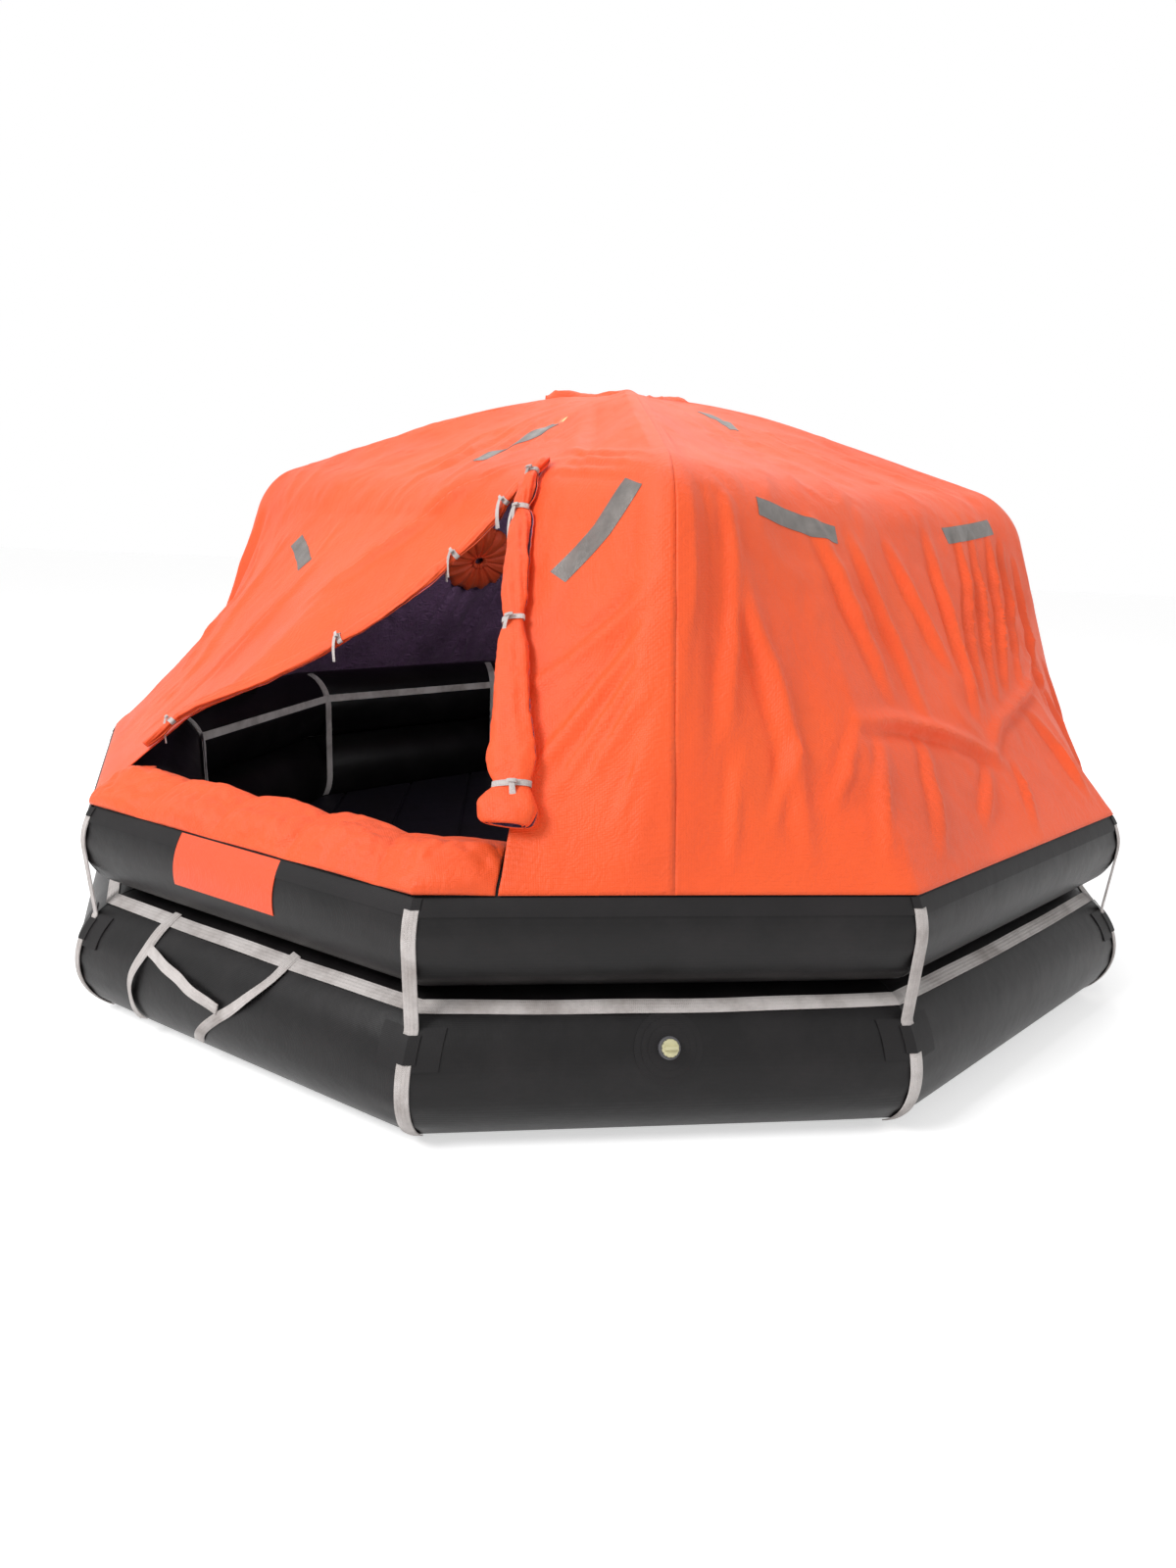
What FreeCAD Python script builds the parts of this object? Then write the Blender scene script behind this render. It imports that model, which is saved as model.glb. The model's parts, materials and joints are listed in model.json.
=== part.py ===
"""Ten-sided inflatable life raft: two buoyancy tubes, crossed arches and a tented canopy.

Units are millimetres. +Z is up, the origin is on the ground at the centre of the raft, and the
front face looks along -Y. Azimuths are in degrees from the front, turning towards -X. An angle on
a tube is in degrees above the horizontal on its outer side, so 180 is the side facing the cabin.
"""
import FreeCAD
import Part
import math
import os

V = FreeCAD.Vector

# Buoyancy ring
side_count = 10
ring_apothem = 1450.0
lower_radius = 155.0
upper_radius = 141.0
contact_sink = 6.0
bond_gap = 0.3

# Floor
floor_thickness = 3.0
floor_height = 18.0
pad_thickness = 44.0
pad_rim_gap = 4.0
channel_width = 14.0
channel_depth = 9.0
channel_pitch = 260.0
ballast_size = 420.0
ballast_thickness = 14.0
ballast_place = 700.0

# Canopy and its arches
hem_angle = 34.5
hem_strip_width = 36.0
cloth = 4.0
cloth_gap = 3.4
shoulder_radius = 1326.0
shoulder_height = 1398.0
shoulder_bend = 230.0
ridge_height = 1824.0
crown_bend = 2100.0
arch_radius = 80.0
leg_azimuths = (0.0, 108.0, 180.0, 288.0)
wall_sag = 26.0
roof_sag = 34.0
hem_rows = (0.0, 0.04, 0.09, 0.16, 0.25)
wall_rows = 5
bend_rows = 4
roof_rows = 3
crown_rows = 5
ridge_columns = 3
column_step = 7.0
crown_hole = 60.0

# Entrance on the front left face
door_top = 18.5
door_left = 56.5
door_right = 12.5

# Webbing
webbing_width = 30.0
webbing_thickness = 2.5
webbing_gap = 0.4
lifeline_angle = 60.0
inner_lifeline_height = 490.0
inner_strap_top = 104.0
inner_strap_end = 211.0
strap_top_angle = 26.0
strap_loop_angle = 29.0
strap_end_angle = -58.0
strap_loop_width = 131.0
strap_loop_height = 80.0
strap_keeper_height = 52.0
patch_thickness = 2.2

# Boarding patch on the upper tube, right under the entrance
sign_azimuth = 36.0
sign_offset = -15.0
sign_width = 319.0
sign_low_angle = -15.0
sign_thickness = 1.6

# Inflation valves
lower_valve_angle = 27.0
upper_valve_angle = -14.0
upper_valve_azimuth = 216.0
valve_patch_radius = 70.0
valve_patch_step = 14.0
valve_patch_rise = 1.5
valve_radius = 22.0
valve_height = 14.0
cap_radius = 17.0
cap_height = 12.0
stem_radius = 7.0
stem_depth = 8.0
running_gap = 0.3

# Gas cylinder behind the raft
cylinder_azimuth = 144.0
cylinder_radius = 72.0
cylinder_length = 430.0
cylinder_neck_radius = 17.0
saddle_width = 46.0
saddle_wall = 5.0
head_size = 44.0
lever_length = 74.0
lever_thickness = 9.0
pin_radius = 5.0

half_turn = 180.0 / side_count
lower_height = lower_radius - contact_sink
upper_height = lower_height + lower_radius + upper_radius + bond_gap
ring_reach = 3.0 * ring_apothem


def degrees_sin(angle):
    return math.sin(math.radians(angle))


def degrees_cos(angle):
    return math.cos(math.radians(angle))


def spoke(azimuth, radius, height):
    """Point at an azimuth from the front, a radius from the centre and a height."""
    return V(-radius * degrees_sin(azimuth), -radius * degrees_cos(azimuth), height)


def azimuth_of(point):
    """Azimuth of a point, from 0 up to 360."""
    return math.degrees(math.atan2(-point.x, -point.y)) % 360.0


def off_middle(azimuth):
    """Angle from the middle of the side that an azimuth falls on."""
    return (azimuth + half_turn) % (2.0 * half_turn) - half_turn


def turned(shape, azimuth):
    """Copy of a shape made at the front, turned about +Z to an azimuth."""
    copy = shape.copy()
    copy.rotate(V(0, 0, 0), V(0, 0, 1), -azimuth)
    return copy


def every_corner(shape):
    """A piece made at azimuth 0, repeated at every corner of the ring."""
    return Part.makeCompound([turned(shape, half_turn * (2 * i + 1)) for i in range(side_count)])


def one_solid(shape):
    """The single solid that a boolean result holds."""
    if len(shape.Solids) != 1:
        raise ValueError("expected one solid, found %d" % len(shape.Solids))
    return shape.Solids[0]


def from_triangles(points, triangles):
    """Closed solid from a list of points and index triples, with its faces turned outwards."""
    inside = sum(points[a].dot(points[b].cross(points[c])) for a, b, c in triangles)
    if inside < 0:
        triangles = [(a, c, b) for a, b, c in triangles]
    skin = Part.Shape()
    skin.makeShapeFromMesh((points, triangles), 0.01)
    return Part.Solid(Part.Shell(skin.Faces))


def from_rings(rings):
    """Closed solid through successive rings of points, with a fan at each end."""
    count = len(rings[0])
    points = [p for ring in rings for p in ring]
    triangles = []
    for i in range(len(rings) - 1):
        for j in range(count):
            a = i * count + j
            b = i * count + (j + 1) % count
            triangles += [(a, b, b + count), (a, b + count, a + count)]
    for first, flip in ((0, True), ((len(rings) - 1) * count, False)):
        centre = len(points)
        ring = points[first:first + count]
        points.append(sum(ring, V(0, 0, 0)) * (1.0 / count))
        for j in range(count):
            a = first + j
            b = first + (j + 1) % count
            triangles.append((b, a, centre) if flip else (a, b, centre))
    return from_triangles(points, triangles)


def mitre_wedge():
    """Prism over the front side, between its two corner planes."""
    spread = ring_reach * math.tan(math.radians(half_turn))
    low = -ring_apothem
    outline = [V(0, 0, low), V(spread, -ring_reach, low), V(-spread, -ring_reach, low), V(0, 0, low)]
    return Part.Face(Part.makePolygon(outline)).extrude(V(0, 0, ring_reach))


WEDGE = mitre_wedge()


def side_run(section):
    """A section in the plane x = 0, run along the front side between its mitres."""
    bar = section.copy()
    bar.translate(V(-ring_apothem, 0, 0))
    return bar.extrude(V(2.0 * ring_apothem, 0, 0)).common(WEDGE)


def mitred_ring(section):
    """A section in the plane x = 0, carried round all the sides with mitred corners."""
    run = side_run(section)
    runs = [turned(run, i * 2.0 * half_turn) for i in range(side_count)]
    return one_solid(runs[0].multiFuse(runs[1:]))


def corner_piece(section, width):
    """A short length of a mitred ring about its corner, with the corner turned to the front."""
    run = side_run(section)
    bent = turned(run, -half_turn).fuse(turned(run, half_turn))
    slab = Part.makeBox(width, ring_reach, ring_reach, V(-0.5 * width, -ring_reach, -ring_apothem))
    return one_solid(bent.common(slab))


def side_piece(section, centre, width):
    """A short length of a band on the front side."""
    bar = section.copy()
    bar.translate(V(centre - 0.5 * width, 0, 0))
    return bar.extrude(V(width, 0, 0))


def disc(radius, height):
    """Round section of a tube at the front, in the plane x = 0."""
    rim = Part.Circle(V(0, -ring_apothem, height), V(1, 0, 0), radius)
    return Part.Face(Part.Wire(rim.toShape()))


def on_tube(radius, height, angle):
    """Section point at a radius about a tube's axis, at an angle above the horizontal."""
    return V(0, -ring_apothem - radius * degrees_cos(angle), height + radius * degrees_sin(angle))


def tube_arc(radius, height, start, end):
    """Arc about a tube's axis between two angles."""
    angles = (start, 0.5 * (start + end), end)
    return Part.Arc(*[on_tube(radius, height, angle) for angle in angles]).toShape()


def straight(a, b):
    return Part.LineSegment(a, b).toShape()


def band_section(inner, thickness, height, low, high):
    """Curved band that hugs a tube between two angles, in the plane x = 0."""
    outer = inner + thickness
    edges = [
        tube_arc(inner, height, low, high),
        straight(on_tube(inner, height, high), on_tube(outer, height, high)),
        tube_arc(outer, height, high, low),
        straight(on_tube(outer, height, low), on_tube(inner, height, low)),
    ]
    return Part.Face(Part.Wire(edges))


def strap_section(top, leave, meet, bottom, gap):
    """Webbing over both tubes: from top to leave on the upper, from meet to bottom on the lower."""
    sides = []
    for offset in (gap, gap + webbing_thickness):
        upper = upper_radius + offset
        lower = lower_radius + offset
        sides.append([
            tube_arc(upper, upper_height, top, leave),
            straight(on_tube(upper, upper_height, leave), on_tube(lower, lower_height, meet)),
            tube_arc(lower, lower_height, meet, bottom),
        ])
    inner, outer = sides
    ends = []
    for radius, height, angle in ((upper_radius, upper_height, top), (lower_radius, lower_height, bottom)):
        start = on_tube(radius + gap, height, angle)
        ends.append(straight(start, on_tube(radius + gap + webbing_thickness, height, angle)))
    wire = Part.Wire(Part.sortEdges(inner + outer + ends)[0])
    return Part.Face(wire)


def width_angle(width, radius):
    """Angle that a width takes up on a radius."""
    return math.degrees(width / radius)


def lower_tube():
    tube = mitred_ring(disc(lower_radius, lower_height))
    ground = Part.makeBox(ring_reach, ring_reach, ring_reach, V(-0.5 * ring_reach, -0.5 * ring_reach, -ring_reach))
    return one_solid(tube.cut(ground))


def upper_tube():
    return mitred_ring(disc(upper_radius, upper_height))


def hem_strip():
    """Bonding strip under the canopy's hem, left out where the boarding patch is."""
    inner = upper_radius + bond_gap
    high = hem_angle - width_angle(cloth_gap, inner)
    low = high - width_angle(hem_strip_width, inner)
    ring = mitred_ring(band_section(inner, webbing_thickness, upper_height, low, high))
    height = on_tube(inner + webbing_thickness, upper_height, high).z
    wide = sign_width + 2.0 * bond_gap
    room = Part.makeBox(wide, ring_apothem, height, V(sign_offset - 0.5 * wide, -2.0 * ring_apothem, 0.0))
    wide = webbing_width + 2.0 * webbing_gap
    height = on_tube(inner, upper_height, strap_top_angle + 1.0).z
    notch = Part.makeBox(wide, ring_apothem, height, V(-0.5 * wide, -2.0 * ring_apothem, 0.0))
    return one_solid(ring.cut(turned(room, sign_azimuth)).cut(every_corner(notch)))


def boarding_patch():
    """Bare patch that marks where to board."""
    inner = upper_radius + bond_gap
    high = hem_angle - width_angle(cloth_gap, inner)
    section = band_section(inner, sign_thickness, upper_height, sign_low_angle, high)
    return turned(side_piece(section, sign_offset, sign_width), sign_azimuth)


def decagon_plate(apothem, low, thickness):
    """Ten-sided plate about the centre."""
    radius = apothem / degrees_cos(half_turn)
    rim = [spoke(half_turn * (2 * i + 1), radius, low) for i in range(side_count)]
    return Part.Face(Part.makePolygon(rim + rim[:1])).extrude(V(0, 0, thickness))


def tube_reach(height, clearance):
    """Apothem of the lower tube's inner wall at a height, less a clearance."""
    rise = height - lower_height
    return ring_apothem - math.sqrt((lower_radius + clearance) ** 2 - rise ** 2)


def floor_membrane():
    top = floor_height + floor_thickness
    return decagon_plate(tube_reach(top, bond_gap), floor_height, floor_thickness)


def floor_pad():
    """Inflatable floor with welded channels across it."""
    low = floor_height + floor_thickness + bond_gap
    top = low + pad_thickness
    apothem = tube_reach(top, pad_rim_gap + webbing_thickness)
    pad = decagon_plate(apothem, low, pad_thickness)
    count = int(apothem / channel_pitch)
    for i in range(-count, count + 1):
        corner = V(i * channel_pitch - 0.5 * channel_width, -0.5 * ring_reach, top - channel_depth)
        pad = pad.cut(Part.makeBox(channel_width, ring_reach, ring_reach, corner))
    return one_solid(pad)


def ballast_pockets():
    """Four water pockets, folded flat between the ground and the floor."""
    size = ballast_size
    low = floor_height - ballast_thickness - bond_gap
    pocket = Part.makeBox(size, size, ballast_thickness, V(-0.5 * size, -0.5 * size - ballast_place, low))
    upright = [e for e in pocket.Edges if abs(e.tangentAt(e.FirstParameter).z) > 0.9]
    pocket = pocket.makeFillet(0.2 * size, upright)
    return Part.makeCompound([turned(pocket, 45.0 + 90.0 * i) for i in range(4)])


hem_reach = upper_radius + cloth_gap + cloth
hem_radius = ring_apothem + hem_reach * degrees_cos(hem_angle)
hem_height = upper_height + hem_reach * degrees_sin(hem_angle)
arch_reach = arch_radius + cloth_gap + cloth
leg_lean = math.degrees(math.atan2(shoulder_height - hem_height, hem_radius - shoulder_radius))
roof_slope = math.degrees(math.atan2(ridge_height - shoulder_height, shoulder_radius))


def on_bend(centre, bend, angle):
    """Point of an arch's centreline on a bend, in radius and height."""
    return centre[0] + bend * degrees_sin(angle), centre[1] + bend * degrees_cos(angle)


def along_normal(angle):
    """Distance of the cloth's leg or roof line from the origin, along its normal."""
    return shoulder_radius * degrees_sin(angle) + shoulder_height * degrees_cos(angle)


def bend_centres():
    """Centres of the shoulder bend and the crown bend."""
    leg = along_normal(leg_lean) - shoulder_bend
    roof = along_normal(roof_slope) - shoulder_bend
    turn = degrees_sin(leg_lean) * degrees_cos(roof_slope) - degrees_cos(leg_lean) * degrees_sin(roof_slope)
    radius = (leg * degrees_cos(roof_slope) - roof * degrees_cos(leg_lean)) / turn
    height = (degrees_sin(leg_lean) * roof - degrees_sin(roof_slope) * leg) / turn
    crown = (along_normal(roof_slope) - crown_bend) / degrees_cos(roof_slope)
    return (radius, height), (0.0, crown)


def blend(a, b, share):
    return tuple(p + (q - p) * share for p, q in zip(a, b))


def wall_shares():
    """Rows of the wall as shares of its height, close together where it bends over the tube."""
    last = hem_rows[-1]
    return list(hem_rows) + [last + (1.0 - last) * (i + 1) / wall_rows for i in range(wall_rows)]


WALL_SHARES = wall_shares()
WALL_TOP = len(WALL_SHARES) - 1
TUBE_TOP = len(hem_rows) - 1


def arch_stations():
    """Stations of half an arch: radius, height and slope of its centreline, foot to crown."""
    shoulder, crown = bend_centres()
    inner_bend = shoulder_bend - arch_reach
    inner_crown = crown_bend - arch_reach
    foot = (hem_radius - arch_reach * degrees_sin(leg_lean), hem_height - arch_reach * degrees_cos(leg_lean))
    stations = []
    top = on_bend(shoulder, inner_bend, leg_lean)
    for share in WALL_SHARES[:-1]:
        stations.append(blend(foot, top, share) + (leg_lean,))
    for i in range(bend_rows):
        angle = leg_lean + (roof_slope - leg_lean) * i / bend_rows
        stations.append(on_bend(shoulder, inner_bend, angle) + (angle,))
    start = on_bend(shoulder, inner_bend, roof_slope)
    end = on_bend(crown, inner_crown, roof_slope)
    for i in range(roof_rows):
        stations.append(blend(start, end, i / roof_rows) + (roof_slope,))
    last = math.degrees(math.asin(crown_hole / inner_crown))
    for i in range(crown_rows + 1):
        angle = roof_slope + (last - roof_slope) * i / crown_rows
        stations.append(on_bend(crown, inner_crown, angle) + (angle,))
    return stations


STATIONS = arch_stations()


def hem_point(azimuth, inset):
    """Point of the canopy's hem, a share of the cloth in from its outer face."""
    reach = hem_reach - inset
    apothem = ring_apothem + reach * degrees_cos(hem_angle)
    height = upper_height + reach * degrees_sin(hem_angle)
    return spoke(azimuth, apothem / degrees_cos(off_middle(azimuth)), height)


def clear_of_tube(point, inset):
    """Moves a point of the cloth out of the upper tube, away from the tube's axis."""
    azimuth = azimuth_of(point)
    across = degrees_cos(off_middle(azimuth))
    out = math.hypot(point.x, point.y) * across - ring_apothem
    up = point.z - upper_height
    distance = math.hypot(out, up)
    wanted = hem_reach - inset
    if distance >= wanted or up < 0:
        return point
    scale = wanted / distance
    return spoke(azimuth, (ring_apothem + out * scale) / across, upper_height + up * scale)


def fan(start, end, share):
    """Unit vector a share of the way from one unit vector to another."""
    angle = start.getAngle(end)
    if angle < 1e-6:
        return V(start)
    mixed = start * math.sin((1 - share) * angle) + end * math.sin(share * angle)
    return mixed * (1.0 / math.sin(angle))


def skin_point(start, end, station, column, inset):
    """Cloth drawn tight over two arches, as a parallel surface to their centrelines.

    A column from 0 to 1 turns over the first arch, 1 to 2 crosses the panel and 2 to 3 turns
    over the second arch.
    """
    radius, height, angle = station
    half = 0.5 * (end - start)
    middle = 0.5 * (start + end)
    flat = V(0, 0, degrees_cos(angle) * degrees_cos(half)) + spoke(middle, degrees_sin(angle), 0)
    flat.normalize()
    first = spoke(start, degrees_sin(angle), degrees_cos(angle))
    second = spoke(end, degrees_sin(angle), degrees_cos(angle))
    reach = arch_reach - inset
    across = min(1.0, max(0.0, column - 1.0))
    base = spoke(start, radius, height) * (1 - across) + spoke(end, radius, height) * across
    if column < 1.0:
        normal = fan(first, flat, column)
    elif column > 2.0:
        normal = fan(flat, second, column - 2.0)
    else:
        normal = flat
    return base + normal * reach, normal


def canopy_point(start, end, row, column, inset=0.0):
    """Point of the canopy between two legs at a row and column of its cloth."""
    across = min(1.0, max(0.0, column - 1.0))
    slack = 4.0 * across * (1.0 - across)
    if row >= WALL_TOP:
        point, normal = skin_point(start, end, STATIONS[row], column, inset)
        share = (row - WALL_TOP) / (len(STATIONS) - 1 - WALL_TOP)
        return point - normal * roof_sag * slack * math.sin(math.pi * share)
    top, normal = skin_point(start, end, STATIONS[WALL_TOP], column, inset)
    azimuth = azimuth_of(top)
    if column in (0.0, 3.0):
        azimuth = start if column == 0.0 else end
    foot = hem_point(azimuth, inset)
    share = WALL_SHARES[row]
    point = foot + (top - foot) * share
    inwards = spoke(azimuth, degrees_sin(leg_lean), degrees_cos(leg_lean))
    point = point - inwards * wall_sag * slack * math.sin(math.pi * share)
    return clear_of_tube(point, inset)


def column_at(start, end, azimuth):
    """Column of the cloth that stands at an azimuth, at the foot of the shoulder bend."""
    low, high = 1.0, 2.0
    for _ in range(30):
        middle = 0.5 * (low + high)
        if azimuth_of(skin_point(start, end, STATIONS[WALL_TOP], middle, 0.0)[0]) < azimuth:
            low = middle
        else:
            high = middle
    return middle


def even(start, end, count):
    return [start + (end - start) * i / count for i in range(count + 1)]


def spread(start, end, keys):
    """Columns between two azimuths, with one on each key and one on every corner of the ring."""
    corners = [half_turn * (2 * i + 1) for i in range(side_count)]
    stops = [start] + sorted(set(keys) | set(a for a in corners if start < a < end)) + [end]
    azimuths = []
    for a, b in zip(stops, stops[1:]):
        azimuths += even(a, b, max(1, int(round((b - a) / column_step))))[:-1]
    return azimuths + [end]


def gore_columns(start, end, door=None):
    """Columns of a gore as pairs, at the door's top and at the hem, and where the door splits it."""
    first = [(i / ridge_columns,) * 2 for i in range(ridge_columns)]
    last = [(2.0 + (i + 1) / ridge_columns,) * 2 for i in range(ridge_columns)]
    if door is None:
        inner = [column_at(start, end, azimuth) for azimuth in spread(start, end, [])[1:-1]]
        return first + [(value, value) for value in [1.0] + inner + [2.0]] + last, None
    top, right, left = [column_at(start, end, azimuth) for azimuth in door]
    count = int(round(3.0 * top))
    near = list(zip(even(1.0, top, count), even(1.0, right, count)))
    lower = [left] + [column_at(start, end, azimuth) for azimuth in spread(door[2], end, [])[1:-1]] + [2.0]
    far = [(top + (2.0 - top) * (value - left) / (2.0 - left), value) for value in lower]
    return first + near + far + last, len(first) + len(near)


def cloth_solid(outer, inner, quads):
    """Closed solid between two like layers of points, joined along every open edge."""
    count = len(outer)
    triangles = []
    edges = set()
    for a, b, c, d in quads:
        triangles += [(a, b, c), (a, c, d)]
        triangles += [(count + a, count + c, count + b), (count + a, count + d, count + c)]
        edges.update([(a, b), (b, c), (c, d), (d, a)])
    for a, b in sorted(edges):
        if (b, a) not in edges:
            triangles += [(b, a, count + a), (b, count + a, count + b)]
    return from_triangles(outer + inner, triangles)


def gore(start, end, door=None):
    """One sewn panel of the canopy, from leg to leg and from the hem to the crown."""
    columns, split = gore_columns(start, end, door)
    rows = len(STATIONS)
    door_row = WALL_TOP + bend_rows
    span = STATIONS[door_row][1] - STATIONS[TUBE_TOP][1]
    layers = []
    for inset in (0.0, cloth):
        points = []
        for upper, lower in columns:
            for row in range(rows):
                share = min(1.0, max(0.0, (STATIONS[door_row][1] - STATIONS[row][1]) / span))
                column = upper + (lower - upper) * share
                points.append(canopy_point(start, end, row, column, inset))
        layers.append(points)
    quads = []
    for i in range(len(columns) - 1):
        for j in range(rows - 1):
            if i + 1 == split:
                continue
            a = i * rows + j
            b = a + rows
            if i == split and j >= door_row:
                a -= rows
            upper_a = a + 1
            if i == split and j + 1 == door_row:
                upper_a = a + 1 - rows
            quads.append((a, upper_a, b + 1, b))
    return cloth_solid(layers[0], layers[1], quads)


def arch_frame():
    """Two crossed inflatable arches, one chamber, standing on the upper tube."""
    shoulder, crown = bend_centres()
    inner_bend = shoulder_bend - arch_reach
    inner_crown = crown_bend - arch_reach
    lean = spoke(0.0, degrees_cos(leg_lean), -degrees_sin(leg_lean))
    leg_end = spoke(0.0, *on_bend(shoulder, inner_bend, leg_lean))
    foot = leg_end + lean * ((leg_end.z - upper_height) / degrees_sin(leg_lean))
    bend_middle = spoke(0.0, *on_bend(shoulder, inner_bend, 0.5 * (leg_lean + roof_slope)))
    roof_start = spoke(0.0, *on_bend(shoulder, inner_bend, roof_slope))
    roof_end = spoke(0.0, *on_bend(crown, inner_crown, roof_slope))
    crown_middle = spoke(0.0, *on_bend(crown, inner_crown, 0.5 * roof_slope))
    top = spoke(0.0, *on_bend(crown, inner_crown, 0.0))
    wire = Part.Wire([
        straight(foot, leg_end),
        Part.Arc(leg_end, bend_middle, roof_start).toShape(),
        straight(roof_start, roof_end),
        Part.Arc(roof_end, crown_middle, top).toShape(),
        straight(top, top + V(0, arch_radius, 0)),
    ])
    rim = Part.Circle(foot, lean, arch_radius)
    half = wire.makePipeShell([Part.Wire(rim.toShape())], True, False)
    frame = None
    for azimuth in leg_azimuths:
        leg = turned(half, azimuth).cut(turned(side_run(disc(upper_radius + bond_gap, upper_height)), azimuth))
        leg = max(leg.Solids, key=lambda s: s.BoundBox.ZMax)
        frame = leg if frame is None else frame.fuse(leg)
    return one_solid(frame)


def touch_angle(angle):
    """Where a strap that meets the lower tube at an angle leaves the upper one without a kink."""
    start = on_tube(lower_radius + webbing_gap, lower_height, angle)
    out, up = -ring_apothem - start.y, start.z - upper_height
    reach = (upper_radius + webbing_gap) / math.hypot(out, up)
    return math.degrees(math.atan2(up, out) + math.acos(reach))


def outer_straps():
    """Webbing down every outer corner, held at the hem and in a loop on the lower tube."""
    keeper = width_angle(strap_keeper_height, lower_radius)
    meet = strap_loop_angle + 0.75 * keeper
    section = strap_section(strap_top_angle, touch_angle(meet), meet, strap_end_angle, webbing_gap)
    return every_corner(corner_piece(section, webbing_width))


def inner_straps():
    """Webbing down every inner corner, from the top of the upper tube to the floor."""
    lean = math.degrees(math.asin((lower_radius - upper_radius) / (upper_height - lower_height)))
    section = strap_section(inner_strap_top, 180.0 - lean, 180.0 - lean, inner_strap_end, webbing_gap)
    return every_corner(corner_piece(section, webbing_width))


def outer_lifeline():
    """Webbing round the raft in the crease between the tubes."""
    half = 0.5 * width_angle(webbing_width, lower_radius)
    low, high = lifeline_angle - half, lifeline_angle + half
    return mitred_ring(band_section(lower_radius + webbing_gap, webbing_thickness, lower_height, low, high))


def inner_lifeline():
    """Webbing round the cabin, drawn along the inner straps."""
    rise = inner_lifeline_height + 0.5 * webbing_width - upper_height
    reach = upper_radius + 2.0 * webbing_gap + webbing_thickness
    back = -ring_apothem + math.sqrt(reach ** 2 - max(0.0, rise - webbing_width) ** 2)
    low = inner_lifeline_height - 0.5 * webbing_width
    corners = [
        V(0, back, low), V(0, back + webbing_thickness, low),
        V(0, back + webbing_thickness, low + webbing_width), V(0, back, low + webbing_width), V(0, back, low),
    ]
    return mitred_ring(Part.Face(Part.makePolygon(corners)))


def strap_loops():
    """Rubber pads on the lower tube at every corner, each with a keeper over its strap."""
    base = lower_radius + bond_gap
    half = 0.5 * width_angle(strap_loop_height, base)
    pad = band_section(base, patch_thickness, lower_height, strap_loop_angle - half, strap_loop_angle + half)
    half = 0.5 * width_angle(strap_keeper_height, base)
    low, high = strap_loop_angle - half, strap_loop_angle + half
    over = lower_radius + 2.0 * webbing_gap + webbing_thickness
    keeper = band_section(over, patch_thickness, lower_height, low, high)
    fill = band_section(base, over + patch_thickness - base, lower_height, low, high)
    slot = 0.5 * webbing_width + webbing_gap
    side = 7.0
    room = Part.makeBox(2.0 * slot, ring_reach, ring_reach, V(-slot, -ring_reach, -ring_apothem))
    loop = corner_piece(pad, strap_loop_width).cut(room)
    loop = loop.fuse(corner_piece(fill, 2.0 * (slot + side)).cut(room))
    loop = loop.fuse(corner_piece(keeper, 2.0 * (slot + side)))
    return every_corner(one_solid(loop))


def strap_anchors():
    """Rubber tabs under the hem at every corner, over the straps' upper ends."""
    high = hem_angle - width_angle(cloth_gap, hem_reach) - 0.3
    low = strap_top_angle - 2.0
    over = upper_radius + webbing_gap + webbing_thickness + bond_gap
    return every_corner(corner_piece(band_section(over, patch_thickness, upper_height, low, high), webbing_width + 4.0))


def aimed(shape, azimuth, radius, height, angle):
    """A piece made along +Z at the origin, set on a tube with +Z along its outward normal."""
    copy = shape.copy()
    copy.rotate(V(0, 0, 0), V(1, 0, 0), 90.0 - angle)
    copy.translate(on_tube(radius, height, angle))
    return turned(copy, azimuth)


def valve_patch(azimuth, tube_radius, height, angle):
    """Round patch bonded to a tube, with stepped plies."""
    axis = on_tube(1.0, 0.0, angle) + V(0, ring_apothem, 0)
    start = on_tube(0.0, height, angle)
    patch = None
    for step in range(3):
        radius = valve_patch_radius - step * valve_patch_step
        ply = Part.makeCylinder(radius, tube_radius * 1.5, start, axis)
        rise = valve_patch_rise * (step + 1)
        ring = disc(tube_radius + bond_gap + rise, height).cut(disc(tube_radius + bond_gap, height))
        ply = ply.common(side_piece(ring, 0.0, 4.0 * valve_patch_radius))
        patch = ply if patch is None else patch.fuse(ply)
    hole = Part.makeCylinder(stem_radius + running_gap, tube_radius * 2.0, start, axis)
    return turned(one_solid(patch.removeSplitter()).cut(hole).Solids[0], azimuth)


def valve_body(azimuth, tube_radius, height, angle):
    """Low valve housing with a socket for the cap's stem."""
    seat = tube_radius + bond_gap + 3 * valve_patch_rise + bond_gap
    body = Part.makeCylinder(valve_radius, valve_height)
    body = body.makeFillet(2.0, [e for e in body.Edges if abs(e.CenterOfMass.z - valve_height) < 0.1])
    body = body.cut(Part.makeCylinder(stem_radius + running_gap, stem_depth + running_gap, V(0, 0, valve_height - stem_depth - running_gap)))
    return aimed(body, azimuth, seat, height, angle)


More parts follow.
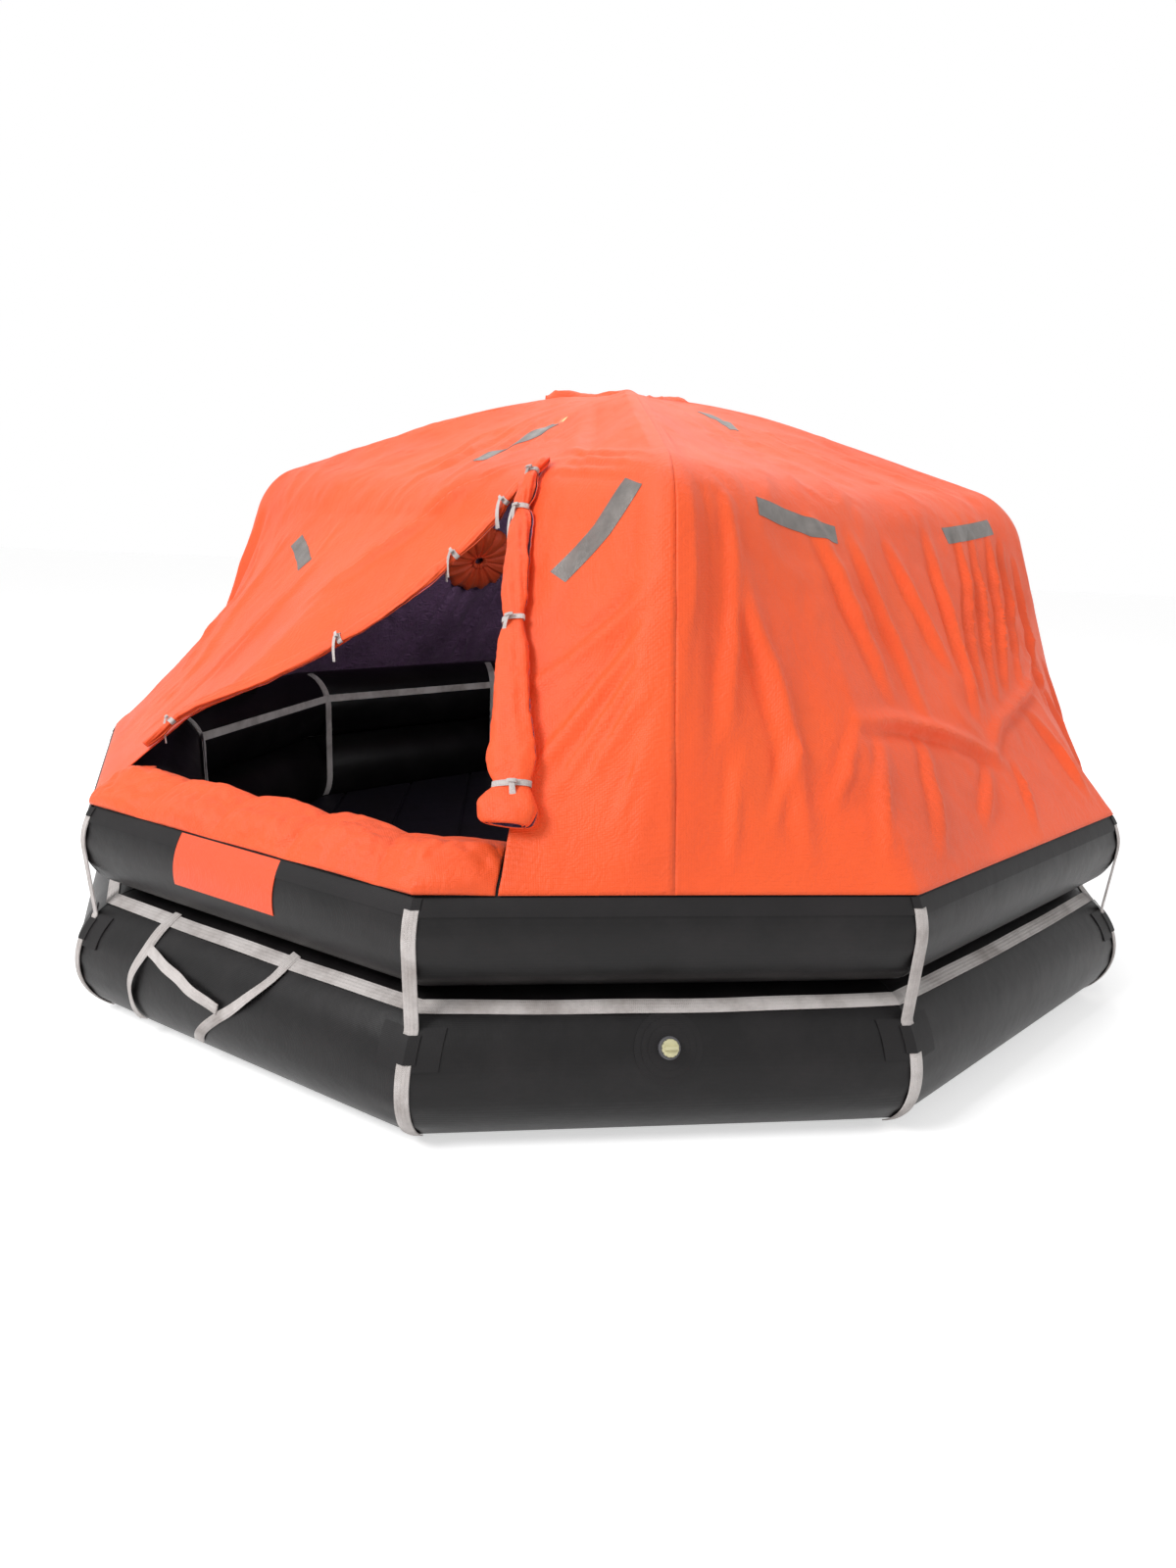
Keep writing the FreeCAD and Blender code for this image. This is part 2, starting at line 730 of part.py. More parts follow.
def valve_cap(azimuth, tube_radius, height, angle):
    """Screw cap with a grip bar, turning on its stem."""
    seat = tube_radius + bond_gap + 3 * valve_patch_rise + bond_gap + valve_height + running_gap
    cap = Part.makeCylinder(cap_radius, cap_height)
    cap = cap.makeChamfer(1.5, [e for e in cap.Edges if abs(e.CenterOfMass.z - cap_height) < 0.1])
    for i in range(12):
        flute = Part.makeCylinder(1.6, cap_height, V(cap_radius + 0.4, 0, -0.1))
        flute.rotate(V(0, 0, 0), V(0, 0, 1), 30.0 * i)
        cap = cap.cut(flute)
    grip = Part.makeBox(2.0 * cap_radius - 6.0, 6.0, 8.0, V(3.0 - cap_radius, -3.0, cap_height - 0.5))
    cap = cap.fuse(grip).fuse(Part.makeCylinder(stem_radius, stem_depth + 0.5, V(0, 0, -stem_depth)))
    return aimed(one_solid(cap), azimuth, seat, height, angle)


def cylinder_frame():
    """Apothem and height of the gas cylinder's axis, lying against the lower tube."""
    height = cylinder_radius + saddle_wall + bond_gap
    spread = lower_radius + cylinder_radius + saddle_wall + 2.0 * bond_gap
    return ring_apothem + math.sqrt(spread ** 2 - (lower_height - height) ** 2), height


def gas_cylinder():
    """Gas bottle with domed ends and a neck, lying along the raft."""
    apothem, height = cylinder_frame()
    half = 0.5 * cylinder_length
    dome = 0.45 * cylinder_radius
    neck = 26.0
    rim = [
        V(-half, 0, 0), V(dome - half, 0, cylinder_radius), V(half - dome, 0, cylinder_radius),
        V(half, 0, cylinder_neck_radius), V(half + neck, 0, cylinder_neck_radius), V(half + neck, 0, 0),
    ]
    bulge = 0.707
    near = V(-half + dome * (1 - bulge), 0, cylinder_radius * bulge)
    far = V(half - dome * (1 - bulge), 0, cylinder_radius * bulge + cylinder_neck_radius * 0.2)
    edges = [
        Part.Arc(rim[0], near, rim[1]).toShape(), straight(rim[1], rim[2]), Part.Arc(rim[2], far, rim[3]).toShape(),
        straight(rim[3], rim[4]), straight(rim[4], rim[5]), straight(rim[5], rim[0]),
    ]
    bottle = Part.Face(Part.Wire(edges)).revolve(V(0, 0, 0), V(1, 0, 0), 360.0)
    bottle.translate(V(0, -apothem, height))
    return turned(bottle, cylinder_azimuth)


def cylinder_saddles():
    """Two bands round the gas cylinder, bonded to the lower tube."""
    apothem, height = cylinder_frame()
    bands = []
    for place in (-0.27, 0.27):
        start = V(place * cylinder_length - 0.5 * saddle_width, -apothem, height)
        ring = Part.makeCylinder(cylinder_radius + saddle_wall, saddle_width, start, V(1, 0, 0))
        ring = ring.cut(Part.makeCylinder(cylinder_radius + bond_gap, saddle_width, start, V(1, 0, 0)))
        bands.append(turned(ring, cylinder_azimuth))
    return Part.makeCompound(bands)


def head_place():
    apothem, height = cylinder_frame()
    return V(0.5 * cylinder_length + 26.0 + bond_gap, -apothem, height)


def operating_head():
    """Release head on the cylinder's neck, with ears that carry the lever."""
    start = head_place()
    half = 0.5 * head_size
    block = Part.makeBox(head_size, head_size, head_size, start + V(0, -half, -half))
    block = block.makeFillet(4.0, block.Edges)
    outlet = Part.makeCylinder(11.0, 24.0, start + V(half, half - 1.0, 0), V(0, 1, 0))
    block = block.fuse(outlet)
    for side in (-1, 1):
        low = start + V(0.2 * head_size, side * 9.0 - 3.0, half - 1.0)
        ear = Part.makeBox(0.6 * head_size, 6.0, 19.0, low)
        block = block.fuse(ear)
    pin = Part.makeCylinder(pin_radius, 24.0, start + V(half, -12.0, half + 11.0), V(0, 1, 0))
    return turned(one_solid(block.fuse(pin)), cylinder_azimuth)


def release_lever():
    """Lever that turns on the pin between the ears."""
    start = head_place()
    half = 0.5 * head_size
    axis = start + V(half, 0, half + 11.0)
    wide = 0.5 * lever_thickness
    outline = Part.makeCylinder(8.5, lever_thickness, axis + V(0, -wide, 0), V(0, 1, 0))
    arm = Part.makeBox(lever_length, lever_thickness, 10.0, axis + V(0, -wide, -1.6))
    tip = Part.makeCylinder(9.0, lever_thickness, axis + V(lever_length, -wide, 1.0), V(0, 1, 0))
    hole = Part.makeCylinder(pin_radius + running_gap, lever_thickness, axis + V(0, -wide, 0), V(0, 1, 0))
    eye = Part.makeCylinder(4.0, lever_thickness, axis + V(lever_length, -wide, 1.0), V(0, 1, 0))
    lever = outline.fuse(arm).fuse(tip).cut(hole).cut(eye)
    return turned(one_solid(lever), cylinder_azimuth)


def build():
    legs = list(leg_azimuths) + [360.0]
    gores = [gore(a, b, (door_top, door_right, door_left) if a == 0.0 else None) for a, b in zip(legs, legs[1:])]
    return {
        "lower_tube": lower_tube(),
        "upper_tube": upper_tube(),
        "hem_strip": hem_strip(),
        "boarding_patch": boarding_patch(),
        "floor_membrane": floor_membrane(),
        "floor_pad": floor_pad(),
        "ballast_pockets": ballast_pockets(),
        "arch_frame": arch_frame(),
        "canopy_entrance_gore": gores[0],
        "canopy_left_gore": gores[1],
        "canopy_rear_gore": gores[2],
        "canopy_right_gore": gores[3],
        "outer_straps": outer_straps(),
        "inner_straps": inner_straps(),
        "outer_lifeline": outer_lifeline(),
        "inner_lifeline": inner_lifeline(),
        "strap_loops": strap_loops(),
        "strap_anchors": strap_anchors(),
        "lower_valve_patch": valve_patch(0.0, lower_radius, lower_height, lower_valve_angle),
        "lower_valve_body": valve_body(0.0, lower_radius, lower_height, lower_valve_angle),
        "lower_valve_cap": valve_cap(0.0, lower_radius, lower_height, lower_valve_angle),
        "upper_valve_patch": valve_patch(upper_valve_azimuth, upper_radius, upper_height, upper_valve_angle),
        "upper_valve_body": valve_body(upper_valve_azimuth, upper_radius, upper_height, upper_valve_angle),
        "upper_valve_cap": valve_cap(upper_valve_azimuth, upper_radius, upper_height, upper_valve_angle),
        "gas_cylinder": gas_cylinder(),
        "cylinder_saddles": cylinder_saddles(),
        "operating_head": operating_head(),
        "release_lever": release_lever(),
    }


if __name__ == "__main__":
    os.makedirs("parts", exist_ok=True)
    for name, shape in build().items():
        shape.exportStep("parts/%s.step" % name)
        box = shape.BoundBox
        print(name, shape.isValid(), len(shape.Solids), round(shape.Volume / 1e6, 3), "dm3",
              [round(x) for x in (box.XMin, box.XMax, box.YMin, box.YMax, box.ZMin, box.ZMax)])
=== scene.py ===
import json
import math

import bmesh
import bpy
import numpy as np
from bpy.props import FloatProperty, FloatVectorProperty, PointerProperty
from mathutils import Matrix, Vector

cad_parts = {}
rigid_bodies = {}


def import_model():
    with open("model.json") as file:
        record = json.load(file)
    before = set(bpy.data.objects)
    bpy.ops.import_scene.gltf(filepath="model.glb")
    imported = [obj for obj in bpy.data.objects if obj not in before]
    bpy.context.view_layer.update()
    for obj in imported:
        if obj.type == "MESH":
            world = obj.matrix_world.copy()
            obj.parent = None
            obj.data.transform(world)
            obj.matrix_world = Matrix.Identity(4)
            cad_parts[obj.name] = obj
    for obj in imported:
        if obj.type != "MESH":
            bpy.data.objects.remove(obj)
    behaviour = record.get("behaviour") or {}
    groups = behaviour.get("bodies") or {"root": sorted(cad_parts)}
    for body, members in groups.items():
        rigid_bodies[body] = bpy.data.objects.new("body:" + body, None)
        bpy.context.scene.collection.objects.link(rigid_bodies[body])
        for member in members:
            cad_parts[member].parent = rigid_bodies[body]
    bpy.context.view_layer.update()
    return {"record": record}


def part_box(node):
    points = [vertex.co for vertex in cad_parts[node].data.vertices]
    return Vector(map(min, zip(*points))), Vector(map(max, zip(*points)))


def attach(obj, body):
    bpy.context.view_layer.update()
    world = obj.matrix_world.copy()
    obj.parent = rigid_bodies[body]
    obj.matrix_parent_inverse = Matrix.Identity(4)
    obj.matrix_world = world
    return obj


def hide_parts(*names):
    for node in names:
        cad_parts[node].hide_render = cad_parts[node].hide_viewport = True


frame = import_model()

bl_info = {
    "name": "Inflatable life raft",
    "version": (1, 0, 0),
    "blender": (4, 5, 0),
    "location": "View3D > Sidebar > Raft",
    "description": "Dresses a ten-sided inflatable life raft: canopy cloth, rolled flaps, rubber and webbing",
    "category": "Object",
}

HULL = "hull"
SIDES = 10
HALF_TURN = math.pi / SIDES

# The ring, read off the tubes
(tube_low, tube_high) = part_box("upper_tube")
UPPER_RADIUS = 0.5 * (tube_high[2] - tube_low[2])
UPPER_HEIGHT = 0.5 * (tube_high[2] + tube_low[2])
APOTHEM = tube_high[1] - UPPER_RADIUS
(tube_low, tube_high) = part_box("lower_tube")
LOWER_RADIUS = tube_high[1] - APOTHEM
LOWER_HEIGHT = tube_high[2] - LOWER_RADIUS


def linear(code):
    """Linear RGBA from an sRGB hex colour."""
    values = [int(code[i:i + 2], 16) / 255.0 for i in (1, 3, 5)]
    return [v / 12.92 if v <= 0.04045 else ((v + 0.055) / 1.055) ** 2.4 for v in values] + [1.0]


def sizes():
    return bpy.context.scene.raft_sizes


def colours():
    return bpy.context.scene.raft_colours


def length(name, default, description):
    return FloatProperty(name=name, description=description, default=default, unit="LENGTH")


def angle(name, default, description):
    return FloatProperty(name=name, description=description, default=math.radians(default), subtype="ANGLE")


class RaftSizes(bpy.types.PropertyGroup):
    hem_angle: angle("Hem angle", 34.5, "Where the canopy meets the upper tube, above its middle")
    cloth: length("Cloth", 0.0022, "Thickness of the canopy cloth")
    cloth_reach: length("Cloth reach", 0.0074, "Room from the tubes to the cloth's outer face")
    arch_radius: length("Arch radius", 0.080, "Radius of the inflated arches")
    shoulder_radius: length("Shoulder radius", 1.326, "Where the leg and roof lines meet, from the centre")
    shoulder_height: length("Shoulder height", 1.398, "Height where the leg and roof lines meet")
    shoulder_bend: length("Shoulder bend", 0.230, "Radius of the cloth over a shoulder")
    ridge_height: length("Ridge height", 1.824, "Height where the roof lines would meet")
    crown_bend: length("Crown bend", 2.100, "Radius of the cloth over the crown")
    crown_hole: length("Crown hole", 0.060, "Radius where the panels end at the crown")
    wall_sag: length("Wall sag", 0.026, "How far the walls dip between the arches")
    roof_sag: length("Roof sag", 0.034, "How far the roof dips between the arches")
    door_top: angle("Door top", 18.5, "Azimuth of the entrance's top")
    door_right: angle("Door right", 12.5, "Azimuth of the entrance's right foot")
    door_left: angle("Door left", 56.5, "Azimuth of the entrance's left foot")
    fold_depth: FloatProperty(
        name="Fold depth", description="How strongly the cloth is folded", default=1.35, min=0.0, max=3.0)
    mesh_step: length("Mesh step", 0.0105, "Spacing of the cloth's mesh")
    webbing_width: length("Webbing width", 0.030, "Width of the straps and lifelines")
    webbing_thickness: length("Webbing thickness", 0.0025, "Thickness of the straps and lifelines")


def colour(name, code, description):
    return FloatVectorProperty(
        name=name, description=description, default=linear(code), size=4, min=0.0, max=1.0, subtype="COLOR")


class RaftColours(bpy.types.PropertyGroup):
    canopy: colour("Canopy", "#FF5B20", "Coated canopy cloth, outside")
    lining: colour("Lining", "#8A6890", "Coated canopy cloth, inside")
    webbing: colour("Webbing", "#E0D9D6", "Woven webbing")
    tape: colour("Tape", "#8A8480", "Reflective tape")
    floor: colour("Floor", "#F4F4F4", "Studio floor")


def node(tree, kind, links=None, at=(0, 0), **settings):
    """Adds a node, sets its values and links its inputs."""
    made = tree.nodes.new(kind)
    made.location = at
    for key, value in settings.items():
        setattr(made, key, value)
    for key, value in (links or {}).items():
        socket = made.inputs[key]
        if isinstance(value, bpy.types.NodeSocket):
            tree.links.new(value, socket)
        else:
            socket.default_value = value
    return made


def new_material(name, base, roughness=0.5, **sockets):
    """A material with its plain shader, ready for its pattern."""
    made = bpy.data.materials.new(name)
    made.use_nodes = True
    made.diffuse_color = base
    shader = made.node_tree.nodes["Principled BSDF"]
    shader.inputs["Base Color"].default_value = base
    shader.inputs["Roughness"].default_value = roughness
    for key, value in sockets.items():
        shader.inputs[key.replace("_", " ")].default_value = value
    return made, made.node_tree, shader


def scaled(value, factor):
    return [min(1.0, v * factor) for v in value[:3]] + [1.0]


def ramp(tree, factor, *stops):
    """Colour ramp from (position, colour) stops."""
    made = node(tree, "ShaderNodeValToRGB", {"Fac": factor})
    elements = made.color_ramp.elements
    while len(elements) < len(stops):
        elements.new(0.5)
    for element, (place, value) in zip(elements, stops):
        element.position = place
        element.color = value
    return made.outputs["Color"]


def noise(tree, place, scale, detail=4.0, rough=0.55):
    return node(tree, "ShaderNodeTexNoise", {
        "Vector": place, "Scale": scale, "Detail": detail, "Roughness": rough}).outputs["Fac"]


def bump(tree, height, strength, distance, below=None):
    links = {"Height": height, "Strength": strength, "Distance": distance}
    if below is not None:
        links["Normal"] = below
    return node(tree, "ShaderNodeBump", links).outputs["Normal"]


def maths(tree, kind, first, second=0.0):
    return node(tree, "ShaderNodeMath", {0: first, 1: second}, operation=kind).outputs[0]


def waves(tree, place, axes, pitch):
    """Sum of sine waves along the axes of a coordinate, at a pitch in metres."""
    split = node(tree, "ShaderNodeSeparateXYZ", {"Vector": place})
    whole = None
    for axis in axes:
        turn = maths(tree, "MULTIPLY", split.outputs[axis], 2.0 * math.pi / pitch)
        wave = maths(tree, "SINE", turn)
        whole = wave if whole is None else maths(tree, "ADD", whole, wave)
    return whole


def cell_edges(tree, place, scale, width):
    """Grooves between the cells of a random pattern."""
    cell = node(tree, "ShaderNodeTexVoronoi", {"Vector": place, "Scale": scale}, feature="DISTANCE_TO_EDGE")
    return node(tree, "ShaderNodeMapRange", {"Value": cell.outputs["Distance"], 1: 0.0, 2: width}).outputs[0]


def uneven_gloss(tree, shader, value, low, high):
    """Roughness that follows a pattern, from a low to a high value."""
    gloss = node(tree, "ShaderNodeMapRange", {"Value": value, 3: low, 4: high})
    tree.links.new(gloss.outputs[0], shader.inputs["Roughness"])


def creased_cloth(name, tones, roughness, crease, sheen):
    """Coated woven nylon: blotches, crumpled coating and a fine weave."""
    made, tree, shader = new_material(name, tones[1], roughness, Sheen_Weight=sheen, Sheen_Roughness=0.45)
    place = node(tree, "ShaderNodeTexCoord").outputs["Object"]
    cloud = noise(tree, place, 2.2, 6.0, 0.6)
    tone = ramp(tree, cloud, (0.3, tones[0]), (0.5, tones[1]), (0.72, tones[2]))
    tree.links.new(tone, shader.inputs["Base Color"])
    uneven_gloss(tree, shader, noise(tree, place, 9.0, 5.0), roughness - 0.07, roughness + 0.1)
    warp = node(tree, "ShaderNodeTexNoise", {"Vector": place, "Scale": 7.0, "Detail": 3.0})
    shift = node(tree, "ShaderNodeVectorMath", {0: warp.outputs["Color"], "Scale": 0.09}, operation="SCALE")
    bent = node(tree, "ShaderNodeVectorMath", {
        0: place, 1: warp.outputs["Color"], 2: shift.outputs[0]}, operation="MULTIPLY_ADD")
    normal = bump(tree, cell_edges(tree, bent.outputs[0], 13.0, 0.28), crease, 0.006)
    normal = bump(tree, noise(tree, place, 30.0, 6.0, 0.62), 0.3, 0.004, normal)
    normal = bump(tree, waves(tree, place, "XYZ", 0.0032), 0.35, 0.0004, normal)
    tree.links.new(normal, shader.inputs["Normal"])
    return made


def canopy_material():
    base = colours().canopy
    tones = (scaled(base, 0.86), base, scaled(base, 1.12))
    return creased_cloth("coated_nylon_orange", tones, 0.5, 0.13, 0.1)


def lining_material():
    base = colours().lining
    tones = (scaled(base, 0.55), base, scaled(base, 1.5))
    return creased_cloth("coated_nylon_lining", tones, 0.45, 0.6, 0.05)


DUST = "#211E1F"


def rubber_material(name, code, roughness):
    """Neoprene-coated tube fabric: almost black, satin, with dusty scuffs."""
    made, tree, shader = new_material(name, linear(code), roughness, Specular_IOR_Level=0.28)
    place = node(tree, "ShaderNodeTexCoord").outputs["Object"]
    dust = noise(tree, place, 5.0, 8.0, 0.65)
    tone = ramp(tree, dust, (0.45, linear(code)), (0.8, linear(DUST)))
    tree.links.new(tone, shader.inputs["Base Color"])
    uneven_gloss(tree, shader, dust, roughness - 0.08, roughness + 0.12)
    normal = bump(tree, noise(tree, place, 6.0, 3.0), 0.35, 0.012)
    normal = bump(tree, noise(tree, place, 70.0, 4.0), 0.16, 0.002, normal)
    normal = bump(tree, waves(tree, place, "XYZ", 0.0026), 0.2, 0.0002, normal)
    tree.links.new(normal, shader.inputs["Normal"])
    return made


def webbing_material():
    """Flat woven polyester webbing, off-white and slightly grubby, with its weave along the strap."""
    base = colours().webbing
    made, tree, shader = new_material("woven_webbing", base, 0.8, Sheen_Weight=0.2)
    coordinate = node(tree, "ShaderNodeTexCoord")
    dirt = noise(tree, coordinate.outputs["Object"], 12.0, 6.0, 0.6)
    tree.links.new(ramp(tree, dirt, (0.3, linear("#AFA6A2")), (0.6, base)), shader.inputs["Base Color"])
    split = node(tree, "ShaderNodeSeparateXYZ", {"Vector": coordinate.outputs["UV"]})
    across = maths(tree, "SINE", maths(tree, "MULTIPLY", split.outputs["X"], 2.0 * math.pi / 0.0075))
    slant = maths(tree, "MULTIPLY", maths(tree, "ABSOLUTE", across), 3.2)
    along = maths(tree, "MULTIPLY", split.outputs["Y"], 2.0 * math.pi / 0.0036)
    twill = maths(tree, "SINE", maths(tree, "ADD", along, slant))
    normal = bump(tree, twill, 0.7, 0.0006)
    normal = bump(tree, across, 0.5, 0.0005, normal)
    tree.links.new(normal, shader.inputs["Normal"])
    return made


def tape_material():
    """Grey glass-bead tape pressed in a small honeycomb."""
    base = colours().tape
    made, tree, shader = new_material("glass_bead_tape", base, 0.34, Metallic=0.35)
    place = node(tree, "ShaderNodeTexCoord").outputs["Object"]
    worn = noise(tree, place, 16.0, 6.0, 0.65)
    tree.links.new(ramp(tree, worn, (0.35, scaled(base, 0.62)), (0.7, base)), shader.inputs["Base Color"])
    normal = bump(tree, cell_edges(tree, place, 190.0, 0.12), 0.4, 0.0006)
    normal = bump(tree, worn, 0.3, 0.004, normal)
    tree.links.new(normal, shader.inputs["Normal"])
    return made


def plain_material(name, code, roughness, **sockets):
    """Moulded plastic, paint or metal with a fine grain and faint rubbed patches."""
    made, tree, shader = new_material(name, linear(code), roughness, **sockets)
    place = node(tree, "ShaderNodeTexCoord").outputs["Object"]
    wear = noise(tree, place, 40.0, 6.0)
    tone = ramp(tree, wear, (0.35, scaled(linear(code), 0.8)), (0.7, linear(code)))
    tree.links.new(tone, shader.inputs["Base Color"])
    uneven_gloss(tree, shader, wear, roughness - 0.08, roughness + 0.12)
    tree.links.new(bump(tree, wear, 0.1, 0.001), shader.inputs["Normal"])
    return made


def patch_material():
    base = linear("#FF5A2E")
    tones = (scaled(base, 0.9), base, scaled(base, 1.1))
    return creased_cloth("coated_nylon_patch", tones, 0.5, 0.1, 0.08)


MATERIALS = {}
MAKERS = {
    "canopy": canopy_material,
    "lining": lining_material,
    "patch": patch_material,
    "webbing": webbing_material,
    "tape": tape_material,
    "tube": lambda: rubber_material("neoprene_tube_fabric", "#0D0B0C", 0.40),
    "bonding": lambda: rubber_material("rubber_bonding_sheet", "#141213", 0.55),
    "floor_mat": lambda: rubber_material("rubber_floor_fabric", "#23202A", 0.5),
    "valve": lambda: plain_material("moulded_nylon_grey", "#5B5A5E", 0.5),
    "cap": lambda: plain_material("moulded_polythene_cream", "#D8D2A8", 0.45),
    "cylinder": lambda: plain_material("enamelled_steel_green", "#1F5A33", 0.35),
    "brass": lambda: plain_material("cast_brass", "#B08D4A", 0.4, Metallic=1.0),
    "lever": lambda: plain_material("enamelled_steel_red", "#B3261E", 0.4),
}


def material(name):
    """Materials by name, each made once."""
    if name not in MATERIALS:
        MATERIALS[name] = MAKERS[name]()
    return MATERIALS[name]


def deselect():
    for thing in bpy.context.selected_objects:
        thing.select_set(False)


def select(piece):
    deselect()
    piece.select_set(True)
    bpy.context.view_layer.objects.active = piece


SMOOTH_ANGLE = math.radians(50.0)


def mesh_object(name, points, faces, finishes, uv=None):
    """A new piece from points and faces, at the origin."""
    mesh = bpy.data.meshes.new(name)
    mesh.from_pydata([tuple(p) for p in points], [], [tuple(int(i) for i in f) for f in faces])
    if uv is not None:
        layer = mesh.uv_layers.new(name="cloth")
        corners = np.empty(len(mesh.loops), dtype=np.int32)
        mesh.loops.foreach_get("vertex_index", corners)
        layer.data.foreach_set("uv", np.asarray(uv, dtype=np.float32)[corners].ravel())
    mesh.validate()
    piece = bpy.data.objects.new(name, mesh)
    bpy.context.scene.collection.objects.link(piece)
    for each in finishes:
        mesh.materials.append(material(each))
    select(piece)
    bpy.ops.object.shade_smooth_by_angle(angle=SMOOTH_ANGLE)
    return piece


def modify(piece, kind, name, **settings):
    """Adds a modifier and applies it."""
    modifier = piece.modifiers.new(name, kind)
    for key, value in settings.items():
        setattr(modifier, key, value)
    select(piece)
    bpy.ops.object.modifier_apply(modifier=name)
    return piece


def settle(piece, slot, *replaced, body=HULL):
    """Says what a finished piece rides on and what it stands for; its slot argument is not used."""
    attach(piece, body)
    if replaced:
        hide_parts(*replaced)
    return piece


def grid_faces(rows, columns, skip=None, flip=False):
    faces = []
    for i in range(rows - 1):
        for j in range(columns - 1):
            if skip is not None and skip(i, j):
                continue
            a = i * columns + j
            quad = (a, a + columns, a + columns + 1, a + 1)
            faces.append(quad[::-1] if flip else quad)
    return faces


WELD = 0.0004


def cloth_piece(name, grid, finishes, thickness, skip=None, flip=False):
    """A sheet of cloth from a grid of points, welded and given its thickness inwards."""
    rows, columns = grid.shape[:2]
    piece = mesh_object(name, grid.reshape(-1, 3), grid_faces(rows, columns, skip, flip), finishes)
    work = bmesh.new()
    work.from_mesh(piece.data)
    bmesh.ops.remove_doubles(work, verts=work.verts, dist=WELD)
    loose = [v for v in work.verts if not v.link_faces]
    bmesh.ops.delete(work, geom=loose, context="VERTS")
    work.to_mesh(piece.data)
    work.free()
    offset = 1 if len(finishes) > 1 else 0
    modify(piece, "SOLIDIFY", "thickness", thickness=thickness, offset=-1.0, material_offset=offset)
    return piece


def loft(rings, closed=False):
    """Faces of a closed form through rings of points, turned outwards."""
    rings = np.asarray(rings, dtype=float)
    count, sides = rings.shape[:2]
    faces = []
    for i in range(count if closed else count - 1):
        for j in range(sides):
            k, after = (i + 1) % count, (j + 1) % sides
            faces.append((i * sides + j, i * sides + after, k * sides + after, k * sides + j))
    points = rings.reshape(-1, 3)
    quads = np.array(faces)
    a, b, c, d = (points[quads[:, k]] for k in range(4))
    middle = points.mean(axis=0)
    volume = np.sum((a - middle) * np.cross(b - middle, c - middle)) + np.sum(
        (a - middle) * np.cross(c - middle, d - middle))
    if not closed:
        faces.append(tuple(range(sides - 1, -1, -1)))
        faces.append(tuple((count - 1) * sides + j for j in range(sides)))
    if volume < 0:
        faces = [face[::-1] for face in faces]
    return points, faces


def gather(parts):
    """Several lofts as one set of points, faces and coordinates."""
    points, faces, uv, start = [], [], [], 0
    for part, part_faces, part_uv in parts:
        points.append(part)
        uv.append(part_uv)
        faces += [tuple(start + i for i in face) for face in part_faces]
        start += len(part)
    return np.concatenate(points), faces, np.concatenate(uv)


def unit(vectors):
    return vectors / np.maximum(np.linalg.norm(vectors, axis=-1, keepdims=True), 1e-9)


def smooth(line, rounds=2):
    """Rounds the corners of a line of points."""
    line = np.asarray(line, dtype=float)
    for _ in range(rounds):
        near, far = line[:-1] * 0.75 + line[1:] * 0.25, line[:-1] * 0.25 + line[1:] * 0.75
        middle = np.stack([near, far], axis=1).reshape(-1, line.shape[1])
        line = np.concatenate([line[:1], middle[1:-1], line[-1:]])
    return line


def resample(line, count):
    """Points evenly spaced along a line."""
    place = distances(line)
    at = np.linspace(0.0, place[-1], count)
    return np.stack([np.interp(at, place, line[:, k]) for k in range(line.shape[1])], axis=1)


def section(width, thickness):
    """Outline of flat webbing: offsets across it, and its rise from back to face."""
    spread = np.array([-0.5, -0.25, 0.0, 0.25, 0.5, 0.5, 0.25, 0.0, -0.25, -0.5]) * width
    return spread, np.array([0.0] * 5 + [1.0] * 5) * thickness


def distances(line):
    """Lengths along a line of points, from its start."""
    return np.concatenate([[0.0], np.cumsum(np.linalg.norm(np.diff(line, axis=0), axis=1))])


def sideways(azimuth):
    """Level direction along the ring at an azimuth."""
    return np.array([-math.cos(azimuth), math.sin(azimuth), 0.0])


def strap_uv(spread, place):
    """Coordinates of a strap: metres across it and along it."""
    return np.stack([np.tile(spread, len(place)), np.repeat(place, len(spread))], axis=1)


def ribbon(points, normals, width, thickness):
    """Flat tape with its back on a line of points and its face along their normals."""
    points, normals = np.asarray(points), unit(np.asarray(normals))
    along = unit(np.gradient(points, axis=0))
    side = unit(np.cross(along, normals))
    spread = np.array([-0.5, -0.46, 0.0, 0.46, 0.5, 0.5, 0.46, 0.0, -0.46, -0.5]) * width
    rise = np.array([0.3, 0.0, 0.0, 0.0, 0.3, 0.7, 1.0, 1.0, 1.0, 0.7]) * thickness
    rings = points[:, None] + side[:, None] * spread[None, :, None] + normals[:, None] * rise[None, :, None]
    part, faces = loft(rings)
    return part, faces, strap_uv(spread, distances(points))


def webbing_piece(name, parts, slot, *replaced):
    points, faces, uv = gather(parts)
    return settle(mesh_object(name, points, faces, ["webbing"], uv), slot, *replaced)


LATTICES = {}


def cloud(points, pitch, seed):
    """Smooth random values from -1 to 1 at points, varying over a pitch in metres."""
    if seed not in LATTICES:
        LATTICES[seed] = np.random.default_rng(seed).uniform(-1.0, 1.0, (32, 32, 32))
    place = np.asarray(points) / pitch + 100.0
    cell = np.floor(place).astype(int)
    part = place - cell
    part = part * part * (3.0 - 2.0 * part)
    total = np.zeros(place.shape[:-1])
    for corner in np.ndindex(2, 2, 2):
        weight = np.prod(np.where(corner, part, 1.0 - part), axis=-1)
        at = (cell + corner) % 32
        total += weight * LATTICES[seed][at[..., 0], at[..., 1], at[..., 2]]
    return total


def spoke(azimuth, radius, height):
    """Points at an azimuth from the front, a radius and a height, as rows of an array."""
    azimuth, radius, height = np.broadcast_arrays(azimuth, radius, height)
    return np.stack([-radius * np.sin(azimuth), -radius * np.cos(azimuth), height], axis=-1)


